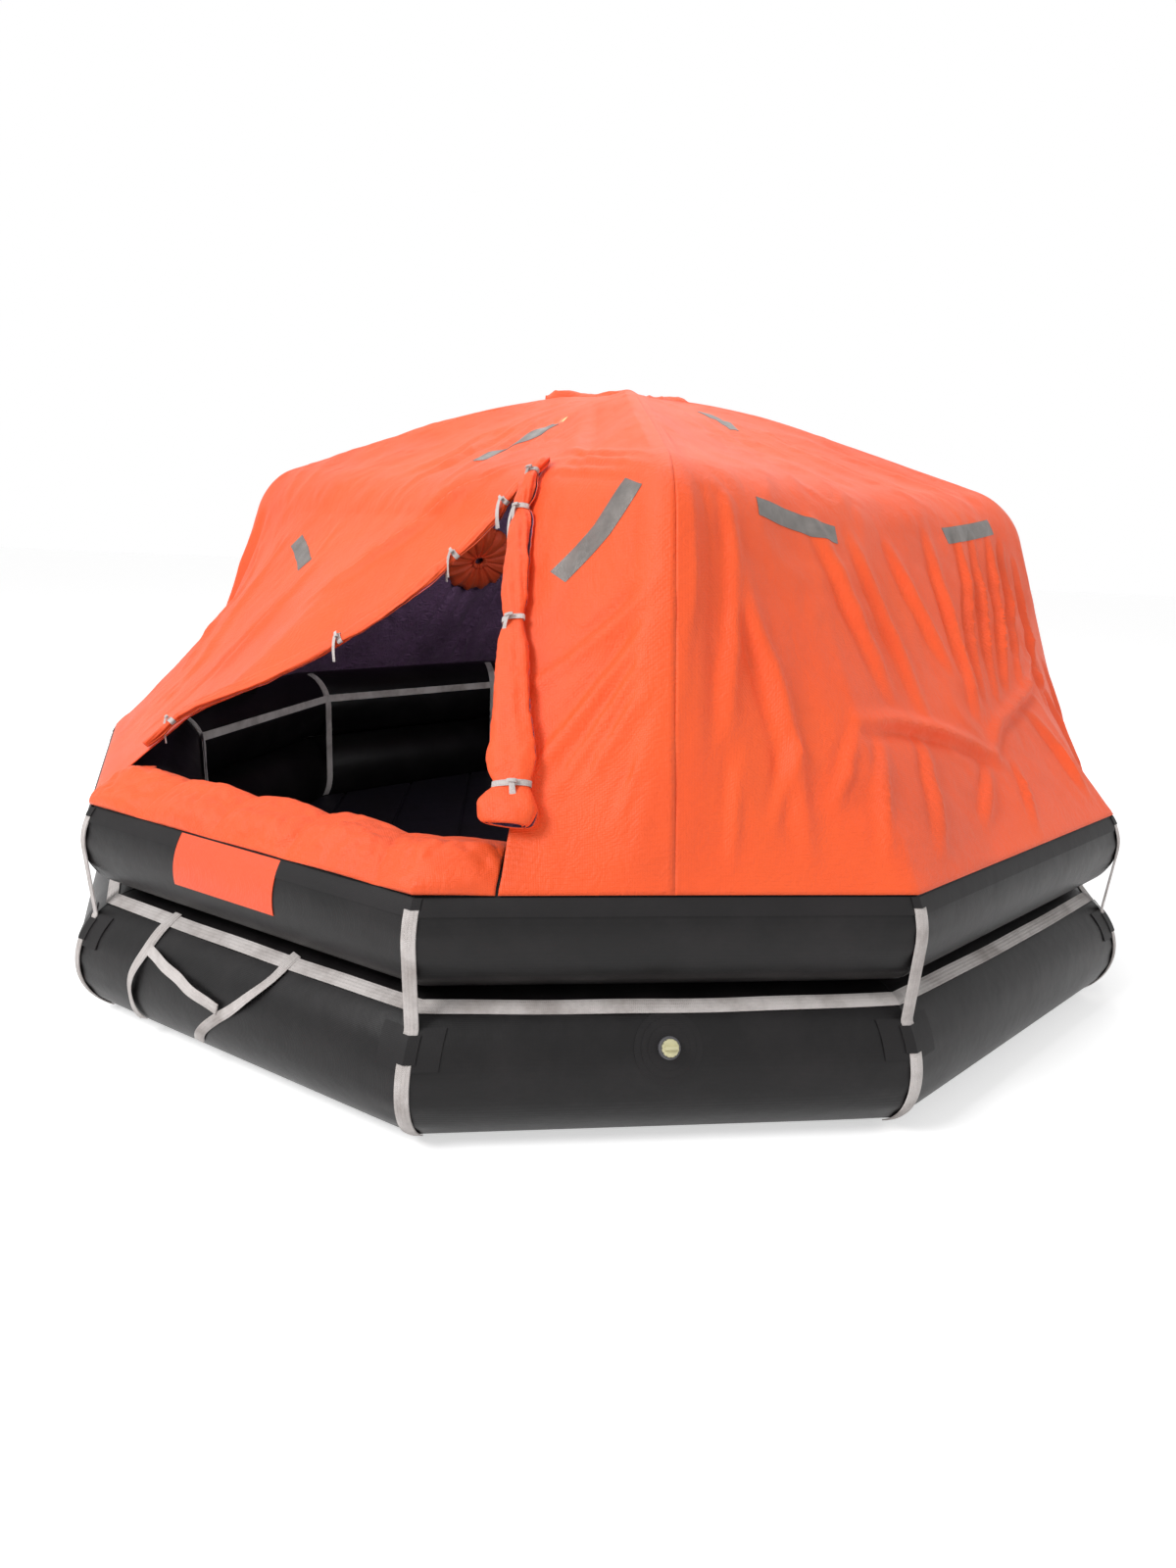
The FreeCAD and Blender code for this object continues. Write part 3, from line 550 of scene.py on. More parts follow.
def azimuth_of(points):
    return np.arctan2(-points[..., 0], -points[..., 1]) % (2.0 * math.pi)


def off_middle(azimuth):
    return (azimuth + HALF_TURN) % (2.0 * HALF_TURN) - HALF_TURN


class Canopy:
    """The canopy's form: cloth drawn over two crossed arches and down to the ring's hem."""

    legs = [math.radians(a) for a in (0.0, 108.0, 180.0, 288.0, 360.0)]
    wall_shares = (0.0, 0.04, 0.09, 0.16, 0.25, 0.4, 0.55, 0.7, 0.85, 1.0)
    door_foot_row = 4
    door_top_row = 13.0
    roll_foot = 0.640

    def __init__(self):
        s = sizes()
        self.hem_reach = UPPER_RADIUS + s.cloth_reach
        self.hem_radius = APOTHEM + self.hem_reach * math.cos(s.hem_angle)
        self.hem_height = UPPER_HEIGHT + self.hem_reach * math.sin(s.hem_angle)
        self.reach = s.arch_radius + s.cloth_reach
        self.lean = math.atan2(s.shoulder_height - self.hem_height, self.hem_radius - s.shoulder_radius)
        self.slope = math.atan2(s.ridge_height - s.shoulder_height, s.shoulder_radius)
        leg = self.along_normal(self.lean) - s.shoulder_bend
        roof = self.along_normal(self.slope) - s.shoulder_bend
        turn = math.sin(self.lean - self.slope)
        self.shoulder = np.array([
            (leg * math.cos(self.slope) - roof * math.cos(self.lean)) / turn,
            (math.sin(self.lean) * roof - math.sin(self.slope) * leg) / turn,
        ])
        self.crown = np.array([0.0, (self.along_normal(self.slope) - s.crown_bend) / math.cos(self.slope)])
        self.lengths()

    def along_normal(self, angle):
        s = sizes()
        return s.shoulder_radius * math.sin(angle) + s.shoulder_height * math.cos(angle)

    def bend(self, centre, radius, angle):
        return centre + radius * np.array([math.sin(angle), math.cos(angle)])

    def lengths(self):
        """Lengths of the profile's wall, bend, roof line and crown, along the cloth."""
        s = sizes()
        top = self.bend(self.shoulder, s.shoulder_bend, self.lean)
        start = self.bend(self.shoulder, s.shoulder_bend, self.slope)
        end = self.bend(self.crown, s.crown_bend, self.slope)
        self.wall = float(np.hypot(*(top - np.array([self.hem_radius, self.hem_height]))))
        self.turn = s.shoulder_bend * (self.lean - self.slope)
        self.roof = float(np.hypot(*(end - start)))
        cap = s.crown_bend * (self.slope - math.asin(s.crown_hole / (s.crown_bend - self.reach)))
        self.peak = self.wall + self.turn
        self.total = self.peak + self.roof + cap
        knots = [share * self.wall for share in self.wall_shares]
        knots += [self.wall + self.turn * (i + 1) / 4.0 for i in range(4)]
        knots += [self.peak + self.roof * (i + 1) / 3.0 for i in range(3)]
        knots += [self.peak + self.roof + cap * (i + 1) / 5.0 for i in range(5)]
        self.knots = np.array(knots)

    def length_at(self, row):
        return np.interp(row, np.arange(len(self.knots)), self.knots)

    def profile(self, length):
        """Centreline radius, height and slope angle at lengths along the cloth from the hem."""
        s = sizes()
        inner = s.shoulder_bend - self.reach
        crown = s.crown_bend - self.reach
        normal = np.array([math.sin(self.lean), math.cos(self.lean)])
        foot = np.array([self.hem_radius, self.hem_height]) - self.reach * normal
        top = self.bend(self.shoulder, inner, self.lean)
        start = self.bend(self.shoulder, inner, self.slope)
        end = self.bend(self.crown, crown, self.slope)
        out = []
        for value in np.atleast_1d(length):
            if value <= self.wall:
                point, at = foot + (top - foot) * value / self.wall, self.lean
            elif value <= self.peak:
                at = self.lean + (self.slope - self.lean) * (value - self.wall) / self.turn
                point = self.bend(self.shoulder, inner, at)
            elif value <= self.peak + self.roof:
                point, at = start + (end - start) * (value - self.peak) / self.roof, self.slope
            else:
                at = max(0.0, self.slope - (value - self.peak - self.roof) / s.crown_bend)
                point = self.bend(self.crown, crown, at)
            out.append((point[0], point[1], at))
        return np.array(out)

    def skin(self, start, end, length, column):
        """Cloth drawn tight over two arches, with its outward normals."""
        levels, back = np.unique(length, return_inverse=True)
        station = self.profile(levels)[back.ravel()]
        radius, height, angle = station[:, 0], station[:, 1], station[:, 2]
        half, middle = 0.5 * (end - start), 0.5 * (start + end)
        across = np.clip(column - 1.0, 0.0, 1.0)[..., None]
        first = spoke(start, np.sin(angle), np.cos(angle))
        second = spoke(end, np.sin(angle), np.cos(angle))
        flat = unit(spoke(middle, np.sin(angle), np.cos(angle) * math.cos(half)))
        near = np.clip(column, 0.0, 1.0)[..., None]
        far = np.clip(3.0 - column, 0.0, 1.0)[..., None]
        base = spoke(start, radius, height) * (1 - across) + spoke(end, radius, height) * across
        side = np.where(column[..., None] < 1.5, first, second)
        share = np.where(column[..., None] < 1.5, near, far)
        swing = np.arccos(np.clip(np.sum(side * flat, axis=-1, keepdims=True), -1.0, 1.0))
        swing = np.maximum(swing, 1e-6)
        normal = (side * np.sin((1 - share) * swing) + flat * np.sin(share * swing)) / np.sin(swing)
        return base + normal * self.reach, normal

    def hem(self, azimuth):
        return spoke(azimuth, self.hem_radius / np.cos(off_middle(azimuth)), self.hem_height)

    def clear(self, points, room=0.0):
        """Keeps the cloth out of the upper tube."""
        azimuth = np.arctan2(-points[..., 0], -points[..., 1])
        across = np.cos(off_middle(azimuth))
        out = np.hypot(points[..., 0], points[..., 1]) * across - APOTHEM
        up = points[..., 2] - UPPER_HEIGHT
        distance = np.hypot(out, up)
        wanted = self.hem_reach - room
        scale = np.where((distance < wanted) & (up > 0), wanted / np.maximum(distance, 1e-6), 1.0)
        return spoke(azimuth, (APOTHEM + out * scale) / across, UPPER_HEIGHT + up * scale)

    def surface(self, start, end, length, column):
        """Points and normals of the cloth between two legs, at lengths and columns."""
        s = sizes()
        length, column = np.broadcast_arrays(np.asarray(length, float), np.asarray(column, float))
        shape = length.shape
        length, column = length.ravel(), column.ravel()
        points, normals = self.skin(start, end, length, column)
        across = np.clip(column - 1.0, 0.0, 1.0)
        slack = 4.0 * across * (1.0 - across)
        row = np.interp(length, self.knots, np.arange(len(self.knots)))
        above = row - (len(self.wall_shares) - 1)
        above = np.clip(above / (len(self.knots) - len(self.wall_shares)), 0.0, 1.0)
        points = points - normals * (s.roof_sag * slack * np.sin(math.pi * above))[..., None]
        top, top_normals = self.skin(start, end, np.full_like(length, self.wall), column)
        azimuth = np.arctan2(-top[..., 0], -top[..., 1])
        foot = self.hem(azimuth)
        share = np.clip(length / self.wall, 0.0, 1.0)
        wall = foot + (top - foot) * share[..., None]
        inwards = spoke(azimuth, math.sin(self.lean), math.cos(self.lean))
        wall = wall - inwards * (s.wall_sag * slack * np.sin(math.pi * share))[..., None]
        low = (length < self.wall)[..., None]
        points = np.where(low, wall, points)
        normals = np.where(low, top_normals, normals)
        return self.clear(points).reshape(shape + (3,)), normals.reshape(shape + (3,))

    def column_at(self, start, end, azimuth):
        """Column of the cloth that stands at an azimuth, at the foot of the shoulder bend."""
        low, high = 1.0, 2.0
        for _ in range(30):
            middle = 0.5 * (low + high)
            point, _ = self.skin(start, end, np.array([self.wall]), np.array([middle]))
            low, high = (middle, high) if azimuth_of(point)[0] < azimuth else (low, middle)
        return middle

    def door_share(self, length):
        """How far the entrance has spread at a length, from its top, 0, to its foot, 1."""
        height = self.profile(length)[:, 1]
        top = self.profile(self.peak)[0, 1]
        foot = self.profile(self.wall * self.wall_shares[self.door_foot_row])[0, 1]
        return np.clip((top - height) / (top - foot), 0.0, 1.0)

    def door_edge(self, side, share):
        """Points of the entrance's edge from its top down to the rolls' lower end, with normals."""
        s = sizes()
        start, end = self.legs[0], self.legs[1]
        top, foot = (self.column_at(start, end, a) for a in (s.door_top, getattr(s, "door_" + side)))
        level = (self.roll_foot - self.hem_height) / (self.skin_height() - self.hem_height)
        first = np.interp(level, self.wall_shares, np.arange(len(self.wall_shares)))
        share = np.asarray(share, dtype=float)
        length = self.length_at(self.door_top_row - share * (self.door_top_row - first))
        column = top + (foot - top) * self.door_share(length)
        point = self.surface(start, end, length, column)[0]
        beside = self.surface(start, end, length, column + 0.03)[0]
        above = self.surface(start, end, length + 0.02, column)[0]
        return point, unit(np.cross(above - point, beside - point))

    def skin_height(self):
        return self.profile(self.wall)[0, 1] + self.reach * math.cos(self.lean)


# Folds of the cloth, each as azimuth in degrees and height along it, its half width and its depth
ENTRANCE_FOLDS = (
    (((0.6, 1.173), (5.7, 1.037), (11.8, 0.904)), 0.018, 0.012),
    (((0.2, 1.111), (5.4, 0.935), (11.9, 0.726)), 0.020, 0.014),
    (((0.0, 1.080), (3.7, 0.926), (9.4, 0.711)), 0.016, 0.010),
    (((0.2, 1.008), (4.2, 0.844), (7.1, 0.717)), 0.016, 0.010),
    (((0.4, 0.931), (2.4, 0.790), (4.0, 0.677)), 0.015, 0.009),
    (((1.3, 0.822), (1.9, 0.719), (2.7, 0.626)), 0.014, 0.008),
    (((11.6, 1.422), (1.3, 1.401)), 0.016, 0.009),
    (((14.6, 1.453), (0.9, 1.419)), 0.014, 0.006),
    (((13.4, 1.395), (1.9, 1.384)), 0.014, 0.007),
    (((32.5, 1.352), (44.6, 1.225), (52.5, 1.106), (57.4, 1.003)), 0.022, 0.014),
    (((24.0, 1.420), (31.0, 1.363), (42.0, 1.271), (52.0, 1.127)), 0.014, 0.009),
    (((90.2, 1.169), (87.5, 0.984), (78.6, 0.811), (75.4, 0.700)), 0.022, 0.014),
    (((71.6, 1.122), (67.7, 0.942), (64.7, 0.795)), 0.020, 0.012),
    (((100.0, 1.144), (94.0, 0.940), (83.9, 0.745)), 0.020, 0.012),
    (((76.0, 1.230), (72.0, 1.050), (68.0, 0.780), (67.0, 0.620)), 0.016, 0.009),
    (((103.5, 1.250), (103.0, 1.000), (104.0, 0.700)), 0.024, -0.014),
)
RIGHT_FOLDS = (
    (((357.0, 1.340), (357.0, 1.154), (357.2, 1.031), (358.4, 0.874), (359.3, 0.720)), 0.026, -0.022),
    (((354.4, 1.330), (354.0, 1.150), (354.6, 1.000), (355.4, 0.840)), 0.018, 0.012),
    (((352.9, 1.180), (352.2, 1.050), (351.0, 0.967), (349.6, 0.824), (349.5, 0.600)), 0.022, 0.014),
    (((341.0, 1.300), (338.8, 1.204), (336.7, 1.052), (335.1, 0.882)), 0.022, 0.013),
    (((333.5, 1.260), (332.4, 1.146), (330.9, 1.016), (330.2, 0.851)), 0.020, 0.012),
    (((324.5, 1.240), (323.8, 1.130), (322.5, 1.005), (322.2, 0.933)), 0.018, 0.012),
    (((314.4, 1.280), (314.9, 1.209), (317.1, 1.000), (320.8, 0.811)), 0.018, 0.013),
    (((305.9, 1.286), (308.0, 1.150), (312.0, 1.052), (317.8, 0.857)), 0.013, 0.012),
    (((301.6, 1.286), (304.5, 1.180), (308.5, 1.048), (314.5, 0.847)), 0.012, 0.012),
    (((297.5, 1.280), (300.0, 1.180), (304.3, 1.048), (311.6, 0.857)), 0.012, 0.013),
    (((294.3, 1.270), (297.0, 1.158), (301.0, 1.020), (307.5, 0.880)), 0.012, 0.012),
    (((292.2, 1.220), (294.0, 1.080), (297.0, 0.960), (302.0, 0.800)), 0.013, 0.012),
    (((341.7, 0.853), (335.7, 0.836), (329.8, 0.802), (323.8, 0.758), (320.6, 0.705)), 0.020, 0.016),
    (((321.6, 0.730), (318.0, 0.790), (314.9, 0.806), (306.9, 0.858), (300.0, 0.930)), 0.017, 0.012),
    (((342.3, 0.832), (344.6, 0.761), (346.8, 0.691)), 0.014, 0.010),
    (((339.8, 0.791), (342.5, 0.706), (343.6, 0.590)), 0.015, 0.011),
    (((332.8, 0.791), (334.7, 0.700), (337.5, 0.580)), 0.016, 0.012),
    (((323.5, 0.705), (329.1, 0.600)), 0.015, 0.011),
    (((318.5, 0.700), (319.5, 0.620), (321.0, 0.560)), 0.012, 0.009),
    (((349.4, 0.823), (350.6, 0.758), (351.9, 0.660)), 0.014, 0.009),
    (((354.6, 0.780), (355.2, 0.700), (355.6, 0.580)), 0.013, 0.008),
    (((309.1, 0.801), (307.9, 0.695), (308.0, 0.580)), 0.016, 0.011),
    (((300.0, 0.860), (298.5, 0.720), (299.0, 0.580)), 0.016, 0.011),
    (((292.0, 0.900), (291.5, 0.760), (292.0, 0.580)), 0.015, 0.010),
)


def loose_folds(start, end, seed):
    """Folds of a panel that hang from its upper corners and its shoulder, spread by a seed."""
    draw = np.random.default_rng(seed)
    low, high = math.degrees(start), math.degrees(end)
    span = high - low
    found = []
    for side in (-1.0, 1.0):
        corner = low if side < 0 else high
        for i in range(int(4 + span / 18.0)):
            reach = (0.03 + 0.42 * (i / (4.0 + span / 18.0)) ** 1.2) * span
            top = corner - side * reach * 0.8
            foot = corner - side * min(0.49 * span, reach * (1.1 + 0.7 * draw.random()))
            rise = draw.uniform(1.16, 1.29)
            drop = draw.uniform(0.56, 0.86)
            middle = 0.5 * (top + foot) - side * draw.uniform(-0.01, 0.03) * span
            line = ((top, rise), (middle, 0.5 * (rise + drop)), (foot, drop))
            found.append((line, draw.uniform(0.012, 0.024), draw.uniform(0.006, 0.014)))
    for _ in range(int(2 + span / 14.0)):
        at = draw.uniform(low + 4.0, high - 4.0)
        line = ((at, draw.uniform(0.7, 0.9)), (at + draw.uniform(-2.0, 2.0), 0.57))
        found.append((line, draw.uniform(0.012, 0.018), draw.uniform(0.006, 0.011)))
    return tuple(found)


def roof_folds(start, end, seed):
    """Slack creases that run from the shoulders towards the crown."""
    draw = np.random.default_rng(seed)
    low, high = math.degrees(start), math.degrees(end)
    span = high - low
    found = []
    for i in range(int(3 + span / 22.0)):
        at = low + span * (0.1 + 0.8 * (i + draw.random()) / (4.0 + span / 22.0))
        rise = draw.uniform(1.36, 1.44)
        line = ((at, rise), (at + draw.uniform(-3.0, 3.0), rise + 0.08), (at + draw.uniform(-5.0, 5.0), 1.60))
        found.append((line, draw.uniform(0.016, 0.030), draw.uniform(0.004, 0.008)))
    return tuple(found)


def pressed(points, normals, lines):
    """How far folds along lines lift or sink the cloth: a crest with a hollow beside it."""
    flat, facing = points.reshape(-1, 3), normals.reshape(-1, 3)
    azimuth = np.degrees(azimuth_of(flat))
    out = np.zeros(len(flat))
    for line, width, depth in lines:
        path = []
        for at, height in smooth(np.array(line)):
            turn = (azimuth - at + 180.0) % 360.0 - 180.0
            nearest = np.argmin((np.radians(turn) * 1.4) ** 2 + (flat[:, 2] - height) ** 2)
            path.append(flat[nearest])
        path = resample(smooth(path), 14)
        room = 5.0 * width
        box = np.all((flat > path.min(axis=0) - room) & (flat < path.max(axis=0) + room), axis=1)
        near = np.nonzero(box)[0]
        best = np.full(len(near), 1e9)
        side = np.zeros(len(near))
        share = np.zeros(len(near))
        for i in range(len(path) - 1):
            run = path[i + 1] - path[i]
            long = max(float(run @ run), 1e-12)
            away = flat[near] - path[i]
            part = np.clip(away @ run / long, 0.0, 1.0)
            gap = away - part[:, None] * run
            distance = np.linalg.norm(gap, axis=1)
            closer = distance < best
            best = np.where(closer, distance, best)
            across = np.cross(run / math.sqrt(long), facing[near])
            side = np.where(closer, np.sum(gap * across, axis=1), side)
            share = np.where(closer, (i + part) / (len(path) - 1), share)
        taper = np.sin(math.pi * np.clip(0.06 + 0.88 * share, 0.0, 1.0)) ** 0.7
        off = np.sqrt(np.maximum(best ** 2 - side ** 2, 0.0))
        fade = np.exp(-(off / width) ** 2)
        crest = np.exp(-(side / width) ** 2)
        hollow = np.exp(-((side - 1.7 * width) / (0.9 * width)) ** 2)
        out[near] += depth * taper * fade * (crest - 0.8 * hollow)
    return out.reshape(points.shape[:-1])


def crumpled(points, seed):
    """Soft waves and fine creases all over the cloth, drawn out along its pull."""
    pulled = points * np.array([1.0, 1.0, 0.42])
    wide = cloud(pulled, 0.21, seed)
    middle = np.abs(cloud(pulled + 0.04 * wide[..., None], 0.105, seed + 1))
    fine = np.abs(cloud(points * np.array([1.0, 1.0, 0.6]), 0.05, seed + 2))
    return 0.0070 * wide - 0.0075 * (middle - 0.3) * (0.7 + 0.6 * wide) + 0.0026 * (fine - 0.3)


def gore_piece(canopy, name, start, end, folds, seed, door=False):
    """One sewn panel of the canopy as a fine sheet with folds."""
    s = sizes()
    step = s.mesh_step * (1.0 if end - start > 1.5 else 0.85)
    chord = 2.0 * (s.shoulder_radius - canopy.reach) * math.sin(0.5 * (end - start))
    wide = max(2, int(chord * 1.08 / step))
    ridge = max(3, int(canopy.reach * 0.8 / step))
    levels = np.linspace(0.0, canopy.total, int(canopy.total / step))
    first = np.linspace(0.0, 1.0, ridge, endpoint=False)
    last = 2.0 + np.linspace(0.0, 1.0, ridge + 1)[1:]
    split = None
    if door:
        top, right, left = (canopy.column_at(start, end, a) for a in (s.door_top, s.door_right, s.door_left))
        near = int(wide * (top - 1.0)) + 4
        far = int(wide * (2.0 - 0.5 * (top + left))) + 1
        upper = np.concatenate([first, np.linspace(1, top, near), np.linspace(top, 2, far), last])
        lower = np.concatenate([first, np.linspace(1, right, near), np.linspace(left, 2, far), last])
        split = ridge + near
        share = canopy.door_share(levels)
        levels = levels.copy()
        levels[np.argmin(np.abs(levels - canopy.peak))] = canopy.peak
    else:
        upper = lower = np.concatenate([first, np.linspace(1, 2, wide), last])
        share = np.zeros(len(levels))
    column = upper[None, :] + (lower - upper)[None, :] * share[:, None]
    level = np.repeat(levels[:, None], len(upper), axis=1)
    points, normals = canopy.surface(start, end, level, column)
    folds = tuple(folds) + roof_folds(start, end, seed + 40)
    out = pressed(points, normals, folds) + crumpled(points, seed)
    off_ridge = np.minimum(column, 3.0 - column)
    held = 0.12 + 0.88 * np.clip((off_ridge - 0.55) / 0.6, 0.0, 1.0)
    held *= np.clip(level / 0.10, 0.0, 1.0) ** 0.7 * np.clip((canopy.total - level) / 0.15, 0.0, 1.0)
    out = out * held * s.fold_depth
    beside = np.clip(off_ridge - 1.0, 0.0, 1.0) * chord
    out = np.maximum(out, -0.0025 - beside ** 2 / (2.4 * canopy.reach))
    seam = np.exp(-(off_ridge / 0.10) ** 2) * 0.0016
    hem = 0.0012 * np.exp(-((level - 0.012) / 0.010) ** 2)
    points = canopy.clear(points + normals * (out + seam + hem)[..., None])
    gap = None
    if door:
        gap = lambda i, j: j == split - 1 and levels[i] < canopy.peak - 1e-6
    return cloth_piece(name, points, ["canopy", "lining"], s.cloth, gap)


class RAFT_OT_canopy(bpy.types.Operator):
    """Make the four sewn canopy panels."""

    bl_idname = "raft.canopy"
    bl_label = "Canopy"

    def execute(self, context):
        canopy = Canopy()
        panels = (
            ("entrance", ENTRANCE_FOLDS), ("left", None), ("rear", None), ("right", RIGHT_FOLDS))
        for i, (name, folds) in enumerate(panels):
            start, end = Canopy.legs[i], Canopy.legs[i + 1]
            folds = loose_folds(start, end, 11 + i) if folds is None else folds
            piece = gore_piece(canopy, "canopy_%s_cloth" % name, start, end, folds, 20 + 5 * i, door=i == 0)
            settle(piece, "canopy_fabric", "canopy_%s_gore" % name)
        return {"FINISHED"}


ROLLED_CLOTH = 0.0018
# Rolled flaps: where each starts along the entrance's edge, widths and depths from top to foot, and seed
ROLLS = {
    "right": (0.0, (0.048, 0.062, 0.070, 0.084, 0.142), (0.026, 0.034, 0.038, 0.044, 0.054), 61),
    "left": (0.2, (0.034, 0.044, 0.048, 0.048, 0.060), (0.016, 0.022, 0.024, 0.024, 0.030), 71),
}
# Where the ties are along a roll, how far they pinch it, and how high the roll lies in shares of its depth
ROLL_TIES = (4.0 / 28.0, 10.0 / 28.0, 17.0 / 28.0, 25.0 / 28.0)
ROLL_PINCH = 0.34
ROLL_LIE = 0.5 * 0.82 * 1.11
ROLL_GAP = 0.0034


def between(values, share):
    return np.interp(share, np.linspace(0.0, 1.0, len(values)), values)


def roll_frame(canopy, side, along):
    """Centres, normals, widths and depths of a rolled flap at shares of its own length."""
    start, widths, depths, _ = ROLLS[side]
    share = start + (1.0 - start) * along
    point, normal = canopy.door_edge(side, share)
    ahead = canopy.door_edge(side, np.minimum(1.0, share + 0.02))[0]
    behind = canopy.door_edge(side, np.maximum(0.0, share - 0.02))[0]
    across = unit(np.cross(unit(ahead - behind), normal))
    full = np.ones_like(share)
    for tie in ROLL_TIES:
        full -= ROLL_PINCH * np.exp(-((along - tie) / 0.030) ** 2)
    ends = np.clip(np.minimum(along, 1.0 - along) / 0.05, 0.0, 1.0)
    full *= 0.62 + 0.38 * ends ** 0.6
    width, depth = 0.5 * full * between(widths, share), 0.5 * full * between(depths, share)
    centre = point + normal * (ROLL_LIE * between(depths, share) + ROLL_GAP)[:, None]
    return centre, normal, across, width, depth, full


def roll_section(frame_rows, along, turn, seed, inner=0.0):
    """Points of the rolled cloth at angles round its section."""
    centre, normal, across, width, depth, full = frame_rows
    grow = 1.0 - 0.20 * turn[None, :] / (2.0 * math.pi)
    phase = math.radians(450.0) * along[:, None]
    loose = (full[:, None] - 0.6) / 0.4
    bulge = 0.09 * np.sin(3.0 * turn[None, :] + phase)
    ripple = np.sin(7.0 * turn[None, :] - 3.0 * phase + 2.0 * np.sin(9.0 * along[:, None]))
    bulge = bulge + 0.05 * loose * ripple
    out = across[:, None] * (width[:, None] * np.cos(turn)[None, :])[..., None]
    out = out + normal[:, None] * (depth[:, None] * np.sin(turn)[None, :])[..., None]
    points = centre[:, None] + out * (grow * (1.0 + bulge))[..., None]
    outward = unit(out)
    crease = 0.0035 * cloud(points, 0.045, seed) - 0.0040 * np.abs(cloud(points, 0.024, seed + 1))
    return points + outward * (crease * (0.35 + 0.65 * loose) - inner)[..., None], outward


def roll_piece(canopy, side):
    """A door flap, rolled up along the entrance's edge and tied."""
    along = np.linspace(0.0, 1.0, 190)
    turn = np.radians(np.linspace(-150.0, 560.0, 92))
    rows = roll_frame(canopy, side, along)
    grid, _ = roll_section(rows, along, turn, ROLLS[side][-1])
    finishes = ["canopy", "lining"]
    piece = cloth_piece("flap_%s_cloth" % side, grid, finishes, ROLLED_CLOTH, flip=side_flip(grid))
    settle(piece, "canopy_fabric")
    return piece


def side_flip(grid):
    """Whether the faces of a wrapped grid have to be turned to point outwards."""
    rows, columns = grid.shape[:2]
    i, j = rows // 2, columns // 5
    a, b, c = grid[i, j], grid[i + 1, j], grid[i, j + 1]
    outward = a - grid[i].mean(axis=0)
    return float(np.cross(b - a, c - a) @ outward) < 0.0


def flap_tie_parts(canopy):
    """Tapes round the rolls, each with two loose tails."""
    parts = []
    for side in ("right", "left"):
        for k, tie in enumerate(ROLL_TIES):
            along = np.array([tie - 0.01, tie, tie + 0.01])
            rows = roll_frame(canopy, side, along)
            turn = np.radians(np.linspace(-28.0, 208.0, 26))
            ring, outward = roll_section(rows, along, turn, ROLLS[side][-1], -0.0030)
            parts.append(ribbon(ring[1], outward[1], 0.013, 0.0014))
            draw = np.random.default_rng(300 + 10 * k + len(side))
            normal = rows[1][1]
            knot = rows[0][1] + normal * (rows[4][1] + 0.006)
            for drop in (0.055 + 0.04 * draw.random(), 0.040 + 0.05 * draw.random()):
                lean = draw.uniform(-0.35, 0.35)
                t = np.linspace(0.0, 1.0, 12)[:, None]
                side_way = rows[2][1] * (lean * drop)
                tail = knot + side_way * t + np.array([0.0, 0.0, -drop]) * t ** 1.2
                tail = tail + normal * (0.004 + 0.010 * np.sin(math.pi * 0.8 * t))
                parts.append(ribbon(tail, np.repeat(normal[None], 12, axis=0), 0.010, 0.0012))
            t = np.linspace(0.0, 2.0 * math.pi, 14)[:, None]
            loop = knot + normal * (0.003 + 0.004 * np.sin(t)) + rows[2][1] * (0.011 * np.cos(t))
            parts.append(ribbon(loop[:12], np.repeat(normal[None], 12, axis=0), 0.008, 0.0012))
    return parts


class RAFT_OT_flaps(bpy.types.Operator):
    """Make the rolled door flaps and their ties."""

    bl_idname = "raft.flaps"
    bl_label = "Door flaps"

    def execute(self, context):
        canopy = Canopy()
        for side in ("right", "left"):
            roll_piece(canopy, side)
        webbing_piece("flap_tapes", flap_tie_parts(canopy), "webbing")
        return {"FINISHED"}


def ring_point(azimuth, reach, at):
    """Points at azimuths, at a reach from the upper tube's axis and an angle above the level."""
    out, up = reach * np.cos(at), reach * np.sin(at)
    return spoke(azimuth, (APOTHEM + out) / np.cos(off_middle(azimuth)), UPPER_HEIGHT + up)


class RAFT_OT_sill(bpy.types.Operator):
    """Make the curtain that is gathered on the tube under the entrance."""

    bl_idname = "raft.sill"
    bl_label = "Sill curtain"

    def execute(self, context):
        s = sizes()
        room = 0.004
        azimuth = np.linspace(s.door_right + room, s.door_left - room, 250)
        share = np.linspace(0.0, 1.0, 250)[:, None]
        angles = np.linspace(s.hem_angle + room / 12.0, math.radians(97.0), 44)
        place = np.linspace(0.0, 1.0, 44)[None, :]
        swell = np.abs(np.sin(5.0 * math.pi * share)) ** 0.8
        full = 0.030 * (0.22 + 0.78 * swell)
        fold = 0.25 + 0.75 * np.sin(math.pi * place) ** 0.6
        fold = fold + 0.16 * np.sin(4.0 * math.pi * place + 7.0 * share)
        least = UPPER_RADIUS + 0.0030
        reach = least + full * np.clip(fold, 0.1, None)
        base = ring_point(azimuth[:, None], reach, angles[None, :])
        gathers = np.abs(cloud(base * np.array([1.0, 1.0, 0.5]), 0.034, 81))
        gathers = 0.009 * (gathers - 0.35) + 0.004 * cloud(base, 0.018, 82)
        gathers = gathers * np.sin(math.pi * np.clip(0.04 + 0.92 * place, 0, 1)) * (0.5 + 0.5 * swell)
        reach = np.maximum(reach + gathers, least)
        grid = ring_point(azimuth[:, None], reach, angles[None, :])
        piece = cloth_piece("sill_cloth", grid, ["canopy", "lining"], ROLLED_CLOTH, flip=side_flip_up(grid))
        settle(piece, "canopy_fabric")
        return {"FINISHED"}


def side_flip_up(grid):
    """Whether the faces of a grid lying on the upper tube have to be turned outwards."""
    rows, columns = grid.shape[:2]
    i, j = rows // 2, columns // 2
    a, b, c = grid[i, j], grid[i + 1, j], grid[i, j + 1]
    return float(np.cross(b - a, c - a)[2]) < 0.0


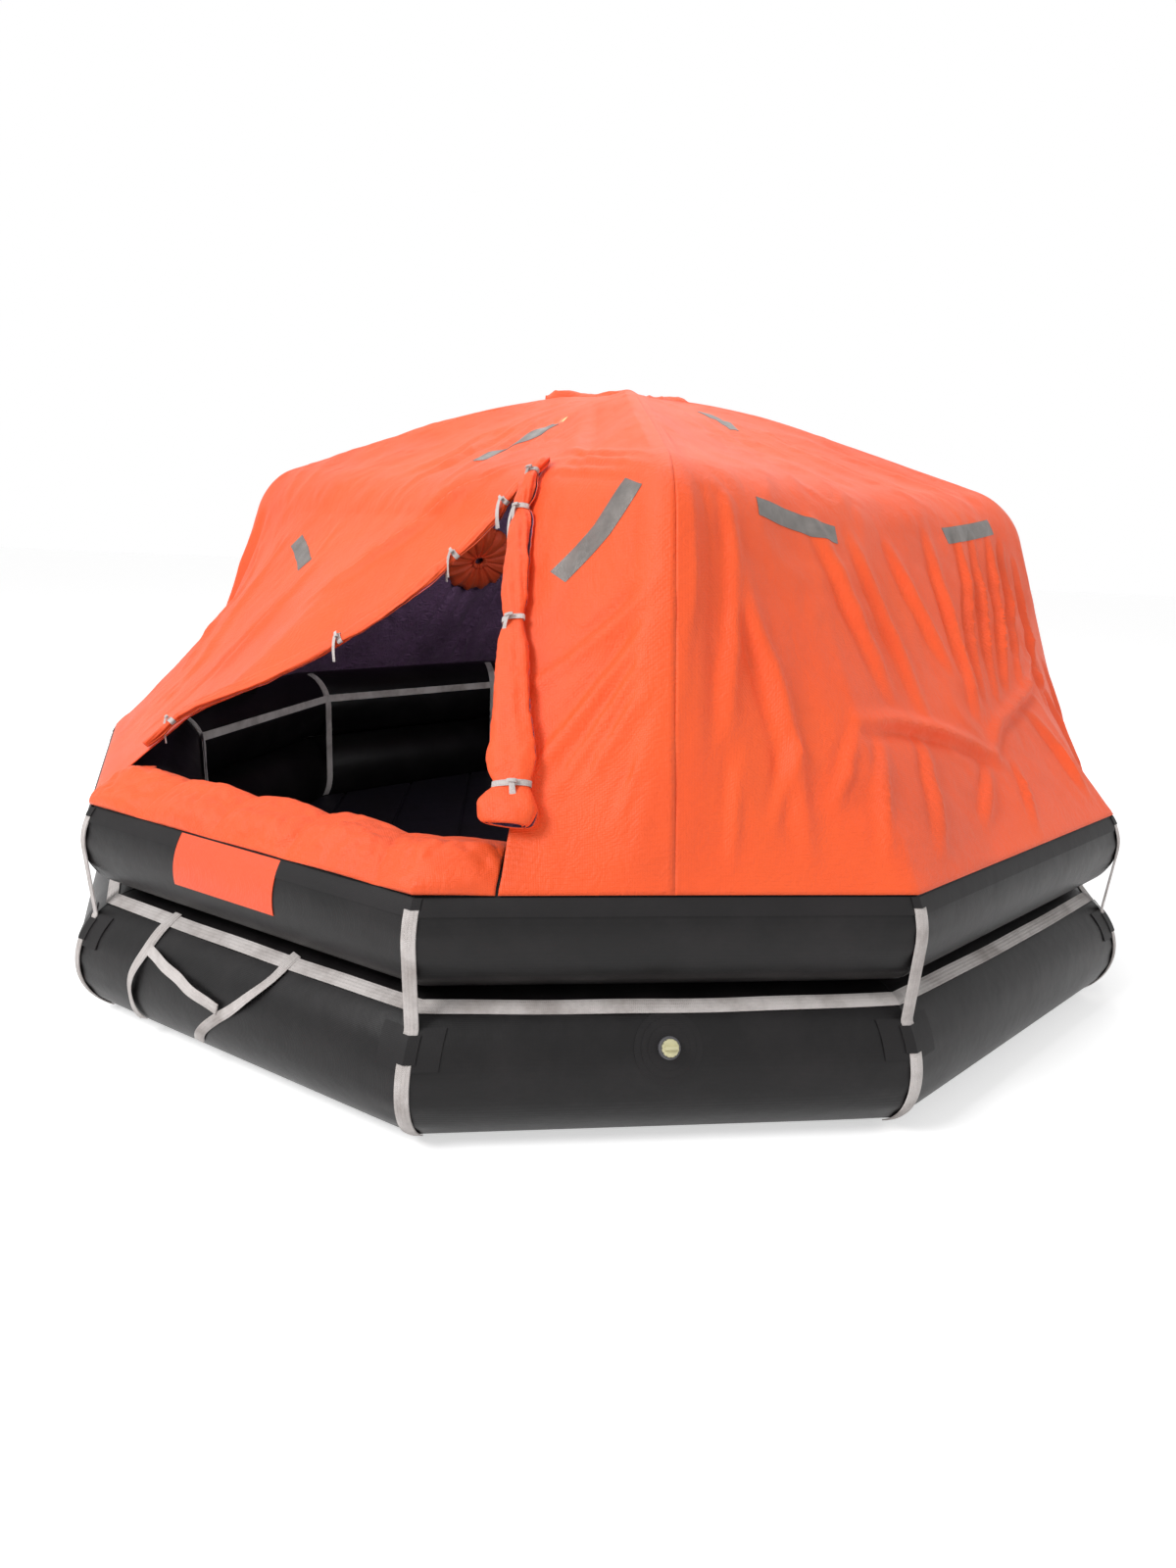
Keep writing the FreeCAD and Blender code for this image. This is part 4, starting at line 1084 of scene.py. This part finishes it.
# Gathered sleeve: middle, radius, azimuth, tilt, and reach and depth from its rim to its middle and out again
SLEEVE_MIDDLE = (-0.505, 1.075, 1.102)
SLEEVE_RADIUS = 0.165
SLEEVE_AZIMUTH = math.radians(155.0)
SLEEVE_TILT = 0.55
SLEEVE_REACH = (
    0.98, 1.0, 0.98, 0.93, 0.86, 0.77, 0.66, 0.54, 0.42, 0.31, 0.22, 0.15, 0.11, 0.12, 0.16, 0.2)
SLEEVE_DEPTH = (
    0.1, 0.35, 0.55, 0.72, 0.85, 0.94, 0.99, 1.0, 0.95, 0.86, 0.74, 0.66, 0.7, 0.86, 0.98, 1.04)
# The room that the crumpled cloth behind the crown takes
CROWN_CLOTH = ((-0.260, 0.045, 1.690), (0.300, 0.243, 1.770))


class RAFT_OT_crumples(bpy.types.Operator):
    """Make the gathered port sleeve in the rear wall and the crumpled cloth behind the crown."""

    bl_idname = "raft.crumples"
    bl_label = "Sleeve and crown cloth"

    def execute(self, context):
        middle = np.array(SLEEVE_MIDDLE)
        facing = -math.cos(SLEEVE_TILT) * unit(spoke(SLEEVE_AZIMUTH, 1.0, 0.0))
        facing = facing - np.array([0.0, 0.0, math.sin(SLEEVE_TILT)])
        side = unit(np.cross(np.array([0.0, 0.0, 1.0]), facing))
        up = np.cross(facing, side)
        turn = np.linspace(0.0, 2.0 * math.pi, 169)
        reach, depth = np.array(SLEEVE_REACH), np.array(SLEEVE_DEPTH)
        pleat = np.sin(14.0 * turn)[None, :] * 0.05 + 0.02 * np.sin(29.0 * turn + 1.0)[None, :]
        pleat = pleat * (0.35 + 0.65 * np.sin(math.pi * np.linspace(0.0, 1.0, 16))[:, None])
        rim = side * np.cos(turn)[:, None] + up * np.sin(turn)[:, None]
        out = rim[None] * (SLEEVE_RADIUS * reach[:, None] * (1.0 + pleat))[..., None]
        grid = middle + out + facing * (0.052 * (depth[:, None] - 0.55) + 0.10 * pleat)[..., None]
        grid[:, -1] = grid[:, 0]
        piece = cloth_piece("port_sleeve_cloth", grid, ["patch"], 0.0016)
        settle(piece, "canopy_fabric")

        low, high = (np.array(corner) for corner in CROWN_CLOTH)
        along = np.linspace(0.0, 1.0, 120)[:, None]
        turn = np.radians(np.linspace(-18.0, 198.0, 54))[None, :]
        full = np.sin(np.radians(20.0 + 140.0 * along)) ** 0.5
        full = full * (1.0 + 0.16 * np.sin(np.radians(900.0 * along)))
        sway = 0.026 * np.sin(np.radians(400.0 * along))
        across = 0.070 * full * np.cos(turn)
        height = low[2] + 0.016 + 0.048 * full * np.sin(turn)
        x = low[0] + 0.01 + (high[0] - low[0] - 0.02) * along + 0.0 * turn
        grid = np.stack([x, 0.5 * (low[1] + high[1]) + 0.6 * sway + across, height], axis=-1)
        push = 0.010 * cloud(grid, 0.085, 91) - 0.016 * (np.abs(cloud(grid, 0.048, 92)) - 0.3)
        outward = np.stack([0.0 * x, np.cos(turn) + 0.0 * x, np.sin(turn) + 0.0 * x], axis=-1)
        grid = grid + outward * push[..., None]
        piece = cloth_piece("crown_cloth", grid, ["canopy", "lining"], ROLLED_CLOTH, flip=side_flip_up(grid))
        settle(piece, "canopy_fabric")
        return {"FINISHED"}


def corner_strap(top, leave, meet, bottom, gap, corner):
    """Webbing down one corner of the ring, over both tubes, between angles on each."""
    s = sizes()
    upper = np.radians(np.linspace(top, leave, 16))
    lower = np.radians(np.linspace(meet, bottom, 30))
    line = []
    for angles, radius, height in ((upper, UPPER_RADIUS, UPPER_HEIGHT), (lower, LOWER_RADIUS, LOWER_HEIGHT)):
        line += [(np.cos(a) * (radius + gap), height + np.sin(a) * (radius + gap)) for a in angles]
    line = resample(np.array(line), 70)
    along = unit(np.gradient(line, axis=0))
    face = np.stack([-along[:, 1], along[:, 0]], axis=1)
    if face[35] @ (line[35] - np.array([0.0, 0.3])) < 0.0:
        face = -face
    azimuth = HALF_TURN * (2 * corner + 1)
    spread, rise = section(s.webbing_width, s.webbing_thickness)
    rings = []
    for place, normal in zip(line, face):
        out, up = place[0] + normal[0] * rise, place[1] + normal[1] * rise
        back = (np.sqrt(spread ** 2 + 0.004 ** 2) - 0.004) * math.tan(HALF_TURN)
        radius = (APOTHEM + out) / math.cos(HALF_TURN) - back
        centre = spoke(azimuth, radius, up)
        rings.append(centre + sideways(azimuth) * spread[:, None])
    part, faces = loft(rings)
    return part, faces, strap_uv(spread, distances(line))


def ring_band(radius, height, at, width, thickness, sway, seed):
    """Webbing round the ring on a tube, at an angle that sways between the corners."""
    spread, rise = section(width, thickness)
    rings, place = [], []
    for side in range(SIDES):
        for f in np.linspace(-1.0, 1.0, 40, endpoint=False):
            drop = (1.0 - f * f) * sway * (0.7 + 0.5 * math.sin(seed + 2.3 * side))
            angles = at - drop + spread / radius
            reach = radius + rise + 0.0015 * (1.0 - f * f) * (1.0 + math.sin(9.0 * f + side))
            out, up = reach * np.cos(angles), height + reach * np.sin(angles)
            azimuth = 2.0 * HALF_TURN * side
            lateral = f * (APOTHEM + out) * math.tan(HALF_TURN)
            rings.append(spoke(azimuth, APOTHEM + out, up) + sideways(azimuth) * lateral[:, None])
            place.append((side + 0.5 * f) * 2.0 * APOTHEM * math.tan(HALF_TURN))
    part, faces = loft(rings, closed=True)
    return part, faces, strap_uv(spread, place)


# Boarding ladder on the lower tube: millimetres along the side and degrees up its section
LADDER_LEFT = ((-262, 66), (-264, 48), (-276, 30), (-292, 12), (-306, -6), (-312, -24), (-310, -40))
LADDER_RIGHT = ((136, 66), (130, 48), (104, 32), (52, 14), (-14, -2), (-66, -18), (-96, -34))
LADDER_RUNG = ((-262, 31), (-190, 24), (-90, 14), (0, 8))


def ladder_strap(places, lift, seed):
    """Webbing over the ladder's side of the lower tube, with a slack ripple."""
    line = resample(smooth(np.array(places, float) * np.array([0.001, math.pi / 180.0])), 60)
    t = np.linspace(0.0, 1.0, 60)
    reach = LOWER_RADIUS + lift + 0.003 * np.sin(math.pi * t) * (1.0 + np.sin(14.0 * t + seed))
    turn = math.radians(36.0)
    out, up = reach * np.cos(line[:, 1]), reach * np.sin(line[:, 1])
    away = np.array([-math.sin(turn), -math.cos(turn), 0.0])
    along = np.array([math.cos(turn), -math.sin(turn), 0.0])
    points = away * (APOTHEM + out)[:, None] + along * line[:, :1]
    points[:, 2] = LOWER_HEIGHT + up
    normals = away * np.cos(line[:, 1])[:, None] + np.array([0.0, 0.0, 1.0]) * np.sin(line[:, 1])[:, None]
    normals = normals + along * (0.30 * np.sin(7.0 * t + seed))[:, None]
    return ribbon(points, normals, 0.024, 0.0025)


class RAFT_OT_webbing(bpy.types.Operator):
    """Make the straps, lifelines and boarding ladder."""

    bl_idname = "raft.webbing"
    bl_label = "Webbing"

    def execute(self, context):
        s = sizes()
        gap = 0.0006
        outer = [corner_strap(26.0, -9.0, 42.0, -58.0, gap, i) for i in range(SIDES)]
        webbing_piece("outer_webbing", outer, "webbing", "outer_straps")
        inner = [corner_strap(104.0, 177.5, 177.5, 211.0, gap, i) for i in range(SIDES)]
        webbing_piece("inner_webbing", inner, "webbing", "inner_straps")
        band = ring_band(
            LOWER_RADIUS + gap, LOWER_HEIGHT, math.radians(60.0), s.webbing_width, s.webbing_thickness,
            sway=0.05, seed=1.0)
        webbing_piece("outer_line", [band], "webbing", "outer_lifeline")
        lift = 0.0036
        ladder = [ladder_strap(LADDER_LEFT, lift, 0.0), ladder_strap(LADDER_RIGHT, lift, 2.0)]
        ladder.append(ladder_strap(LADDER_RUNG, lift + 0.004, 4.0))
        webbing_piece("ladder_webbing", ladder, "webbing")
        return {"FINISHED"}


def tube_piece(name, radius, height, seed, node_name):
    """An inflated tube of the ring, puckered beside its mitred corners."""
    turn = np.linspace(0.0, 2.0 * math.pi, 72, endpoint=False)
    half = 1.0 - np.linspace(0.0, 1.0, 26) ** 1.8
    stations = np.concatenate([-half[:-1], half[::-1][:-1]])
    rings = []
    for side in range(SIDES):
        azimuth = 2.0 * HALF_TURN * side
        for f in stations:
            away = (1.0 - abs(f)) * 0.47
            pucker = math.exp(-away / 0.05) * min(1.0, away / 0.006 + 0.25)
            ripple = 0.5 + 0.5 * np.sin(17.0 * turn + seed + 1.7 * side + (2.0 if f > 0 else 0.0))
            reach = radius - 0.0034 * pucker * ripple - 0.0008 * math.exp(-(away / 0.004) ** 2)
            out, up = reach * np.cos(turn), np.maximum(height + reach * np.sin(turn), 0.0)
            lateral = f * (APOTHEM + out) * math.tan(HALF_TURN)
            rings.append(spoke(azimuth, APOTHEM + out, up) + sideways(azimuth) * lateral[:, None])
    points, faces = loft(rings, closed=True)
    settle(mesh_object(name, points, faces, ["tube"]), "tube_rubber", node_name)


def arch_rings(canopy, azimuth):
    """Rings of one whole inflated arch that stands on the upper tube and crosses the crown."""
    s = sizes()
    levels = np.linspace(-0.02, canopy.total, 110)
    half = canopy.profile(levels)
    lean = math.pi / 2.0 - canopy.lean
    half[0] = (half[1][0] + 0.010 * math.sin(lean), half[1][1] - 0.030, canopy.lean)
    radius = np.concatenate([half[:, 0], [0.0], -half[::-1, 0]])
    top = s.crown_bend - canopy.reach + canopy.crown[1]
    height = np.concatenate([half[:, 1], [top], half[::-1, 1]])
    slope = np.concatenate([half[:, 2], [0.0], -half[::-1, 2]])
    turn = np.linspace(0.0, 2.0 * math.pi, 48, endpoint=False)
    rings = []
    for at, up, tilt in zip(radius, height, slope):
        around = s.arch_radius - 0.0006
        out = at + around * np.sin(tilt) * np.cos(turn)
        rise = up + around * np.cos(tilt) * np.cos(turn)
        across = sideways(azimuth) * (around * np.sin(turn))[:, None]
        rings.append(spoke(azimuth, out, rise) + across)
    return rings


class RAFT_OT_arches(bpy.types.Operator):
    """Make the two crossed inflatable arches."""

    bl_idname = "raft.arches"
    bl_label = "Arches"

    def execute(self, context):
        canopy = Canopy()
        parts = []
        for azimuth in (0.0, math.radians(108.0)):
            points, faces = loft(arch_rings(canopy, azimuth))
            parts.append((points, faces, points[:, :2]))
        points, faces, _ = gather(parts)
        settle(mesh_object("arch_tubes", points, faces, ["tube"]), "tube_rubber", "arch_frame")
        return {"FINISHED"}


TAPE_WIDTH = 0.050
TAPE_THICKNESS = 0.0010
# Reflective tapes: azimuth and height of each end
TAPES = (
    ((85.0, 1.235), (77.0, 1.175)), ((11.0, 1.175), (3.6, 1.345)), ((350.0, 1.322), (337.5, 1.300)),
    ((309.0, 1.312), (295.5, 1.316)), ((44.0, 1.52), (30.0, 1.60)), ((317.0, 1.640), (326.0, 1.575)),
)


class RAFT_OT_tapes(bpy.types.Operator):
    """Lay the reflective tapes on the canopy."""

    bl_idname = "raft.tapes"
    bl_label = "Reflective tapes"

    def execute(self, context):
        panels = ("entrance", "left", "rear", "right")
        cloths = [bpy.data.objects["canopy_%s_cloth" % name] for name in panels]
        parts = []
        for first, last in TAPES:
            azimuth = np.radians(np.linspace(first[0], last[0], 40))
            height = np.linspace(first[1], last[1], 40)
            line = spoke(azimuth, wall_radius(height), height)
            away = unit(line[20] - np.array([0.0, 0.0, 0.9]))
            along = unit(line[-1] - line[0])
            across = unit(np.cross(away, along))
            grid = np.array([
                [laid_on(cloths, point + away * 0.25, -away) for point in line + across * step]
                for step in np.linspace(-0.5 * TAPE_WIDTH, 0.5 * TAPE_WIDTH, 9)])
            points = np.concatenate([grid.reshape(-1, 3), (grid + away * TAPE_THICKNESS).reshape(-1, 3)])
            parts.append(slab(points, 9, 40))
        points, faces, uv = gather(parts)
        settle(mesh_object("tape_strips", points, faces, ["tape"], uv), "canopy_fabric")
        return {"FINISHED"}


def wall_radius(height):
    """Radius near the cloth at a height, for aiming only."""
    return np.interp(height, [0.5, 1.27, 1.40, 1.52, 1.66], [1.58, 1.32, 1.10, 0.75, 0.30])


def laid_on(cloths, start, direction):
    """Where a ray from outside meets the cloth, a little proud of it."""
    best = None
    for thing in cloths:
        hit, place, normal, _ = thing.ray_cast(Vector(start), Vector(direction))
        if hit and (best is None or (place - Vector(start)).length < best[0]):
            best = ((place - Vector(start)).length, np.array(place) + np.array(normal) * 0.0004)
    if best is None:
        raise RuntimeError("a tape misses the cloth")
    return best[1]


def slab(points, rows, columns):
    """Closed sheet from two layers of a grid of points."""
    half = rows * columns
    faces = [tuple(half + i for i in face) for face in grid_faces(rows, columns)]
    faces += [face[::-1] for face in grid_faces(rows, columns)]
    rim = list(range(columns)) + [i * columns + columns - 1 for i in range(1, rows)]
    rim += [(rows - 1) * columns + j for j in range(columns - 2, -1, -1)]
    rim += [i * columns for i in range(rows - 2, 0, -1)]
    for a, b in zip(rim, rim[1:] + rim[:1]):
        faces.append((b, a, a + half, b + half))
    middle = points.mean(axis=0)
    corners = points[np.array([face[:3] for face in faces])] - middle
    if np.sum(corners[:, 0] * np.cross(corners[:, 1], corners[:, 2])) < 0.0:
        faces = [face[::-1] for face in faces]
    return points, faces, points[:, :2]


class RAFT_OT_tubes(bpy.types.Operator):
    """Make the two buoyancy tubes."""

    bl_idname = "raft.tubes"
    bl_label = "Tubes"

    def execute(self, context):
        tube_piece("lower_buoyancy_tube", LOWER_RADIUS, LOWER_HEIGHT, 0.3, "lower_tube")
        tube_piece("upper_buoyancy_tube", UPPER_RADIUS, UPPER_HEIGHT, 1.9, "upper_tube")
        return {"FINISHED"}


class RAFT_OT_finishes(bpy.types.Operator):
    """Give every carried-over node its finish."""

    bl_idname = "raft.finishes"
    bl_label = "Finishes"

    def execute(self, context):
        slots = {
            "tube_rubber": "tube", "bonding_rubber": "bonding", "floor_rubber": "floor_mat",
            "pocket_fabric": "bonding", "canopy_fabric": "canopy", "webbing": "webbing",
            "valve_plastic": "valve", "cap_plastic": "cap", "cylinder_paint": "cylinder",
            "head_brass": "brass", "lever_paint": "lever", "patch_orange": "patch",
        }
        for part in frame["record"]["subparts"]:
            thing = bpy.data.objects[part["node"]]
            finish = material(slots[part["material_slot"]])
            if not thing.data.materials:
                thing.data.materials.append(finish)
            for slot in thing.material_slots:
                slot.material = finish
        return {"FINISHED"}


class RAFT_OT_stage(bpy.types.Operator):
    """Set the floor, the lights and the camera."""

    bl_idname = "raft.stage"
    bl_label = "Stage"

    def execute(self, context):
        make_floor()
        make_lights(context)
        make_camera(context)
        context.scene.view_settings.view_transform = "Standard"
        return {"FINISHED"}


FLOOR_SIZE = 60.0
PHOTO_WIDTH = 1200.0
PHOTO_HEIGHT = 1600.0
FOCAL_PIXELS = 985.9
CENTRE_PIXEL = (653.2, 644.0)
CAMERA_PLACE = (-0.337, -3.410, 1.233)
CAMERA_YAW = 0.1312
CAMERA_PITCH = 0.0956
CAMERA_ROLL = 0.0466


def seen_directly(tree):
    """One for what the camera sees or a glossy surface mirrors, otherwise nought."""
    path = node(tree, "ShaderNodeLightPath")
    return maths(tree, "MAXIMUM", path.outputs["Is Camera Ray"], path.outputs["Is Glossy Ray"])


def make_floor():
    """A pale floor that shows as white to the camera and keeps the raft's shadow."""
    deselect()
    bpy.ops.mesh.primitive_plane_add(size=FLOOR_SIZE, location=(0, 0, 0))
    floor = bpy.context.object
    floor.name = "studio_floor"
    made, tree, shader = new_material("studio_floor", colours().floor, 0.9)
    glow = node(tree, "ShaderNodeEmission", {"Strength": maths(tree, "MULTIPLY", seen_directly(tree), 0.55)})
    both = node(tree, "ShaderNodeAddShader", {0: shader.outputs[0], 1: glow.outputs[0]})
    tree.links.new(both.outputs[0], tree.nodes["Material Output"].inputs["Surface"])
    floor.data.materials.append(made)


LAMP_TARGET = Vector((0.0, 0.0, 0.8))


def make_lights(context):
    """A white surround that lights softly, and four area lamps that face the raft."""
    world = bpy.data.worlds.new("studio")
    context.scene.world = world
    world.use_nodes = True
    tree = world.node_tree
    back = tree.nodes["Background"]
    white = node(tree, "ShaderNodeBackground", {"Color": (1, 1, 1, 1), "Strength": 1.0})
    back.inputs["Color"].default_value = (1, 1, 1, 1)
    back.inputs["Strength"].default_value = 0.42
    mix = node(tree, "ShaderNodeMixShader", {0: seen_directly(tree), 1: back.outputs[0], 2: white.outputs[0]})
    tree.links.new(mix.outputs[0], tree.nodes["World Output"].inputs["Surface"])
    for name, place, size, power in (
        ("key", (-4.5, -4.0, 5.0), 2.2, 300.0),
        ("fill", (5.5, -4.0, 2.5), 4.0, 50.0),
        ("cabin", (0.2, -0.5, 1.35), 0.7, 9.0),
        ("top", (0.5, 1.5, 6.5), 4.0, 130.0),
    ):
        lamp = bpy.data.lights.new(name, "AREA")
        lamp.size = size
        lamp.energy = power
        holder = bpy.data.objects.new(name, lamp)
        holder.location = place
        holder.rotation_euler = (LAMP_TARGET - Vector(place)).to_track_quat("-Z", "Y").to_euler()
        context.scene.collection.objects.link(holder)


def make_camera(context):
    """The photograph's view: place, direction, roll and lens."""
    data = bpy.data.cameras.new("view")
    data.sensor_fit = "AUTO"
    data.sensor_width = 36.0
    data.lens = FOCAL_PIXELS / PHOTO_HEIGHT * data.sensor_width
    data.shift_x = (0.5 * PHOTO_WIDTH - CENTRE_PIXEL[0]) / PHOTO_HEIGHT
    data.shift_y = (CENTRE_PIXEL[1] - 0.5 * PHOTO_HEIGHT) / PHOTO_HEIGHT
    camera = bpy.data.objects.new("view", data)
    forward = Vector((
        math.sin(CAMERA_YAW) * math.cos(CAMERA_PITCH),
        math.cos(CAMERA_YAW) * math.cos(CAMERA_PITCH),
        -math.sin(CAMERA_PITCH)))
    right = Vector((math.cos(CAMERA_YAW), -math.sin(CAMERA_YAW), 0.0))
    up = right.cross(forward)
    rolled_right = right * math.cos(CAMERA_ROLL) + up * math.sin(CAMERA_ROLL)
    rolled_up = up * math.cos(CAMERA_ROLL) - right * math.sin(CAMERA_ROLL)
    turn = Matrix((rolled_right, rolled_up, -forward)).transposed().to_4x4()
    camera.matrix_world = Matrix.Translation(CAMERA_PLACE) @ turn
    context.scene.collection.objects.link(camera)
    context.scene.camera = camera


class RAFT_PT_panel(bpy.types.Panel):
    """Sidebar with the raft's steps, sizes and colours."""

    bl_label = "Raft"
    bl_space_type = "VIEW_3D"
    bl_region_type = "UI"
    bl_category = "Raft"

    def draw(self, context):
        for operator in OPERATORS:
            self.layout.operator(operator.bl_idname)
        for name in RaftSizes.__annotations__:
            self.layout.prop(sizes(), name)
        for name in RaftColours.__annotations__:
            self.layout.prop(colours(), name)


OPERATORS = (
    RAFT_OT_stage, RAFT_OT_canopy, RAFT_OT_flaps, RAFT_OT_sill, RAFT_OT_crumples, RAFT_OT_tapes,
    RAFT_OT_arches, RAFT_OT_tubes, RAFT_OT_webbing, RAFT_OT_finishes)
CLASSES = (RaftSizes, RaftColours) + OPERATORS + (RAFT_PT_panel,)


def register():
    for each in CLASSES:
        bpy.utils.register_class(each)
    bpy.types.Scene.raft_sizes = PointerProperty(type=RaftSizes)
    bpy.types.Scene.raft_colours = PointerProperty(type=RaftColours)


def unregister():
    del bpy.types.Scene.raft_sizes
    del bpy.types.Scene.raft_colours
    for each in reversed(CLASSES):
        bpy.utils.unregister_class(each)


def main():
    register()
    for operator in OPERATORS:
        group, name = operator.bl_idname.split(".")
        getattr(getattr(bpy.ops, group), name)()


if __name__ == "__main__":
    main()
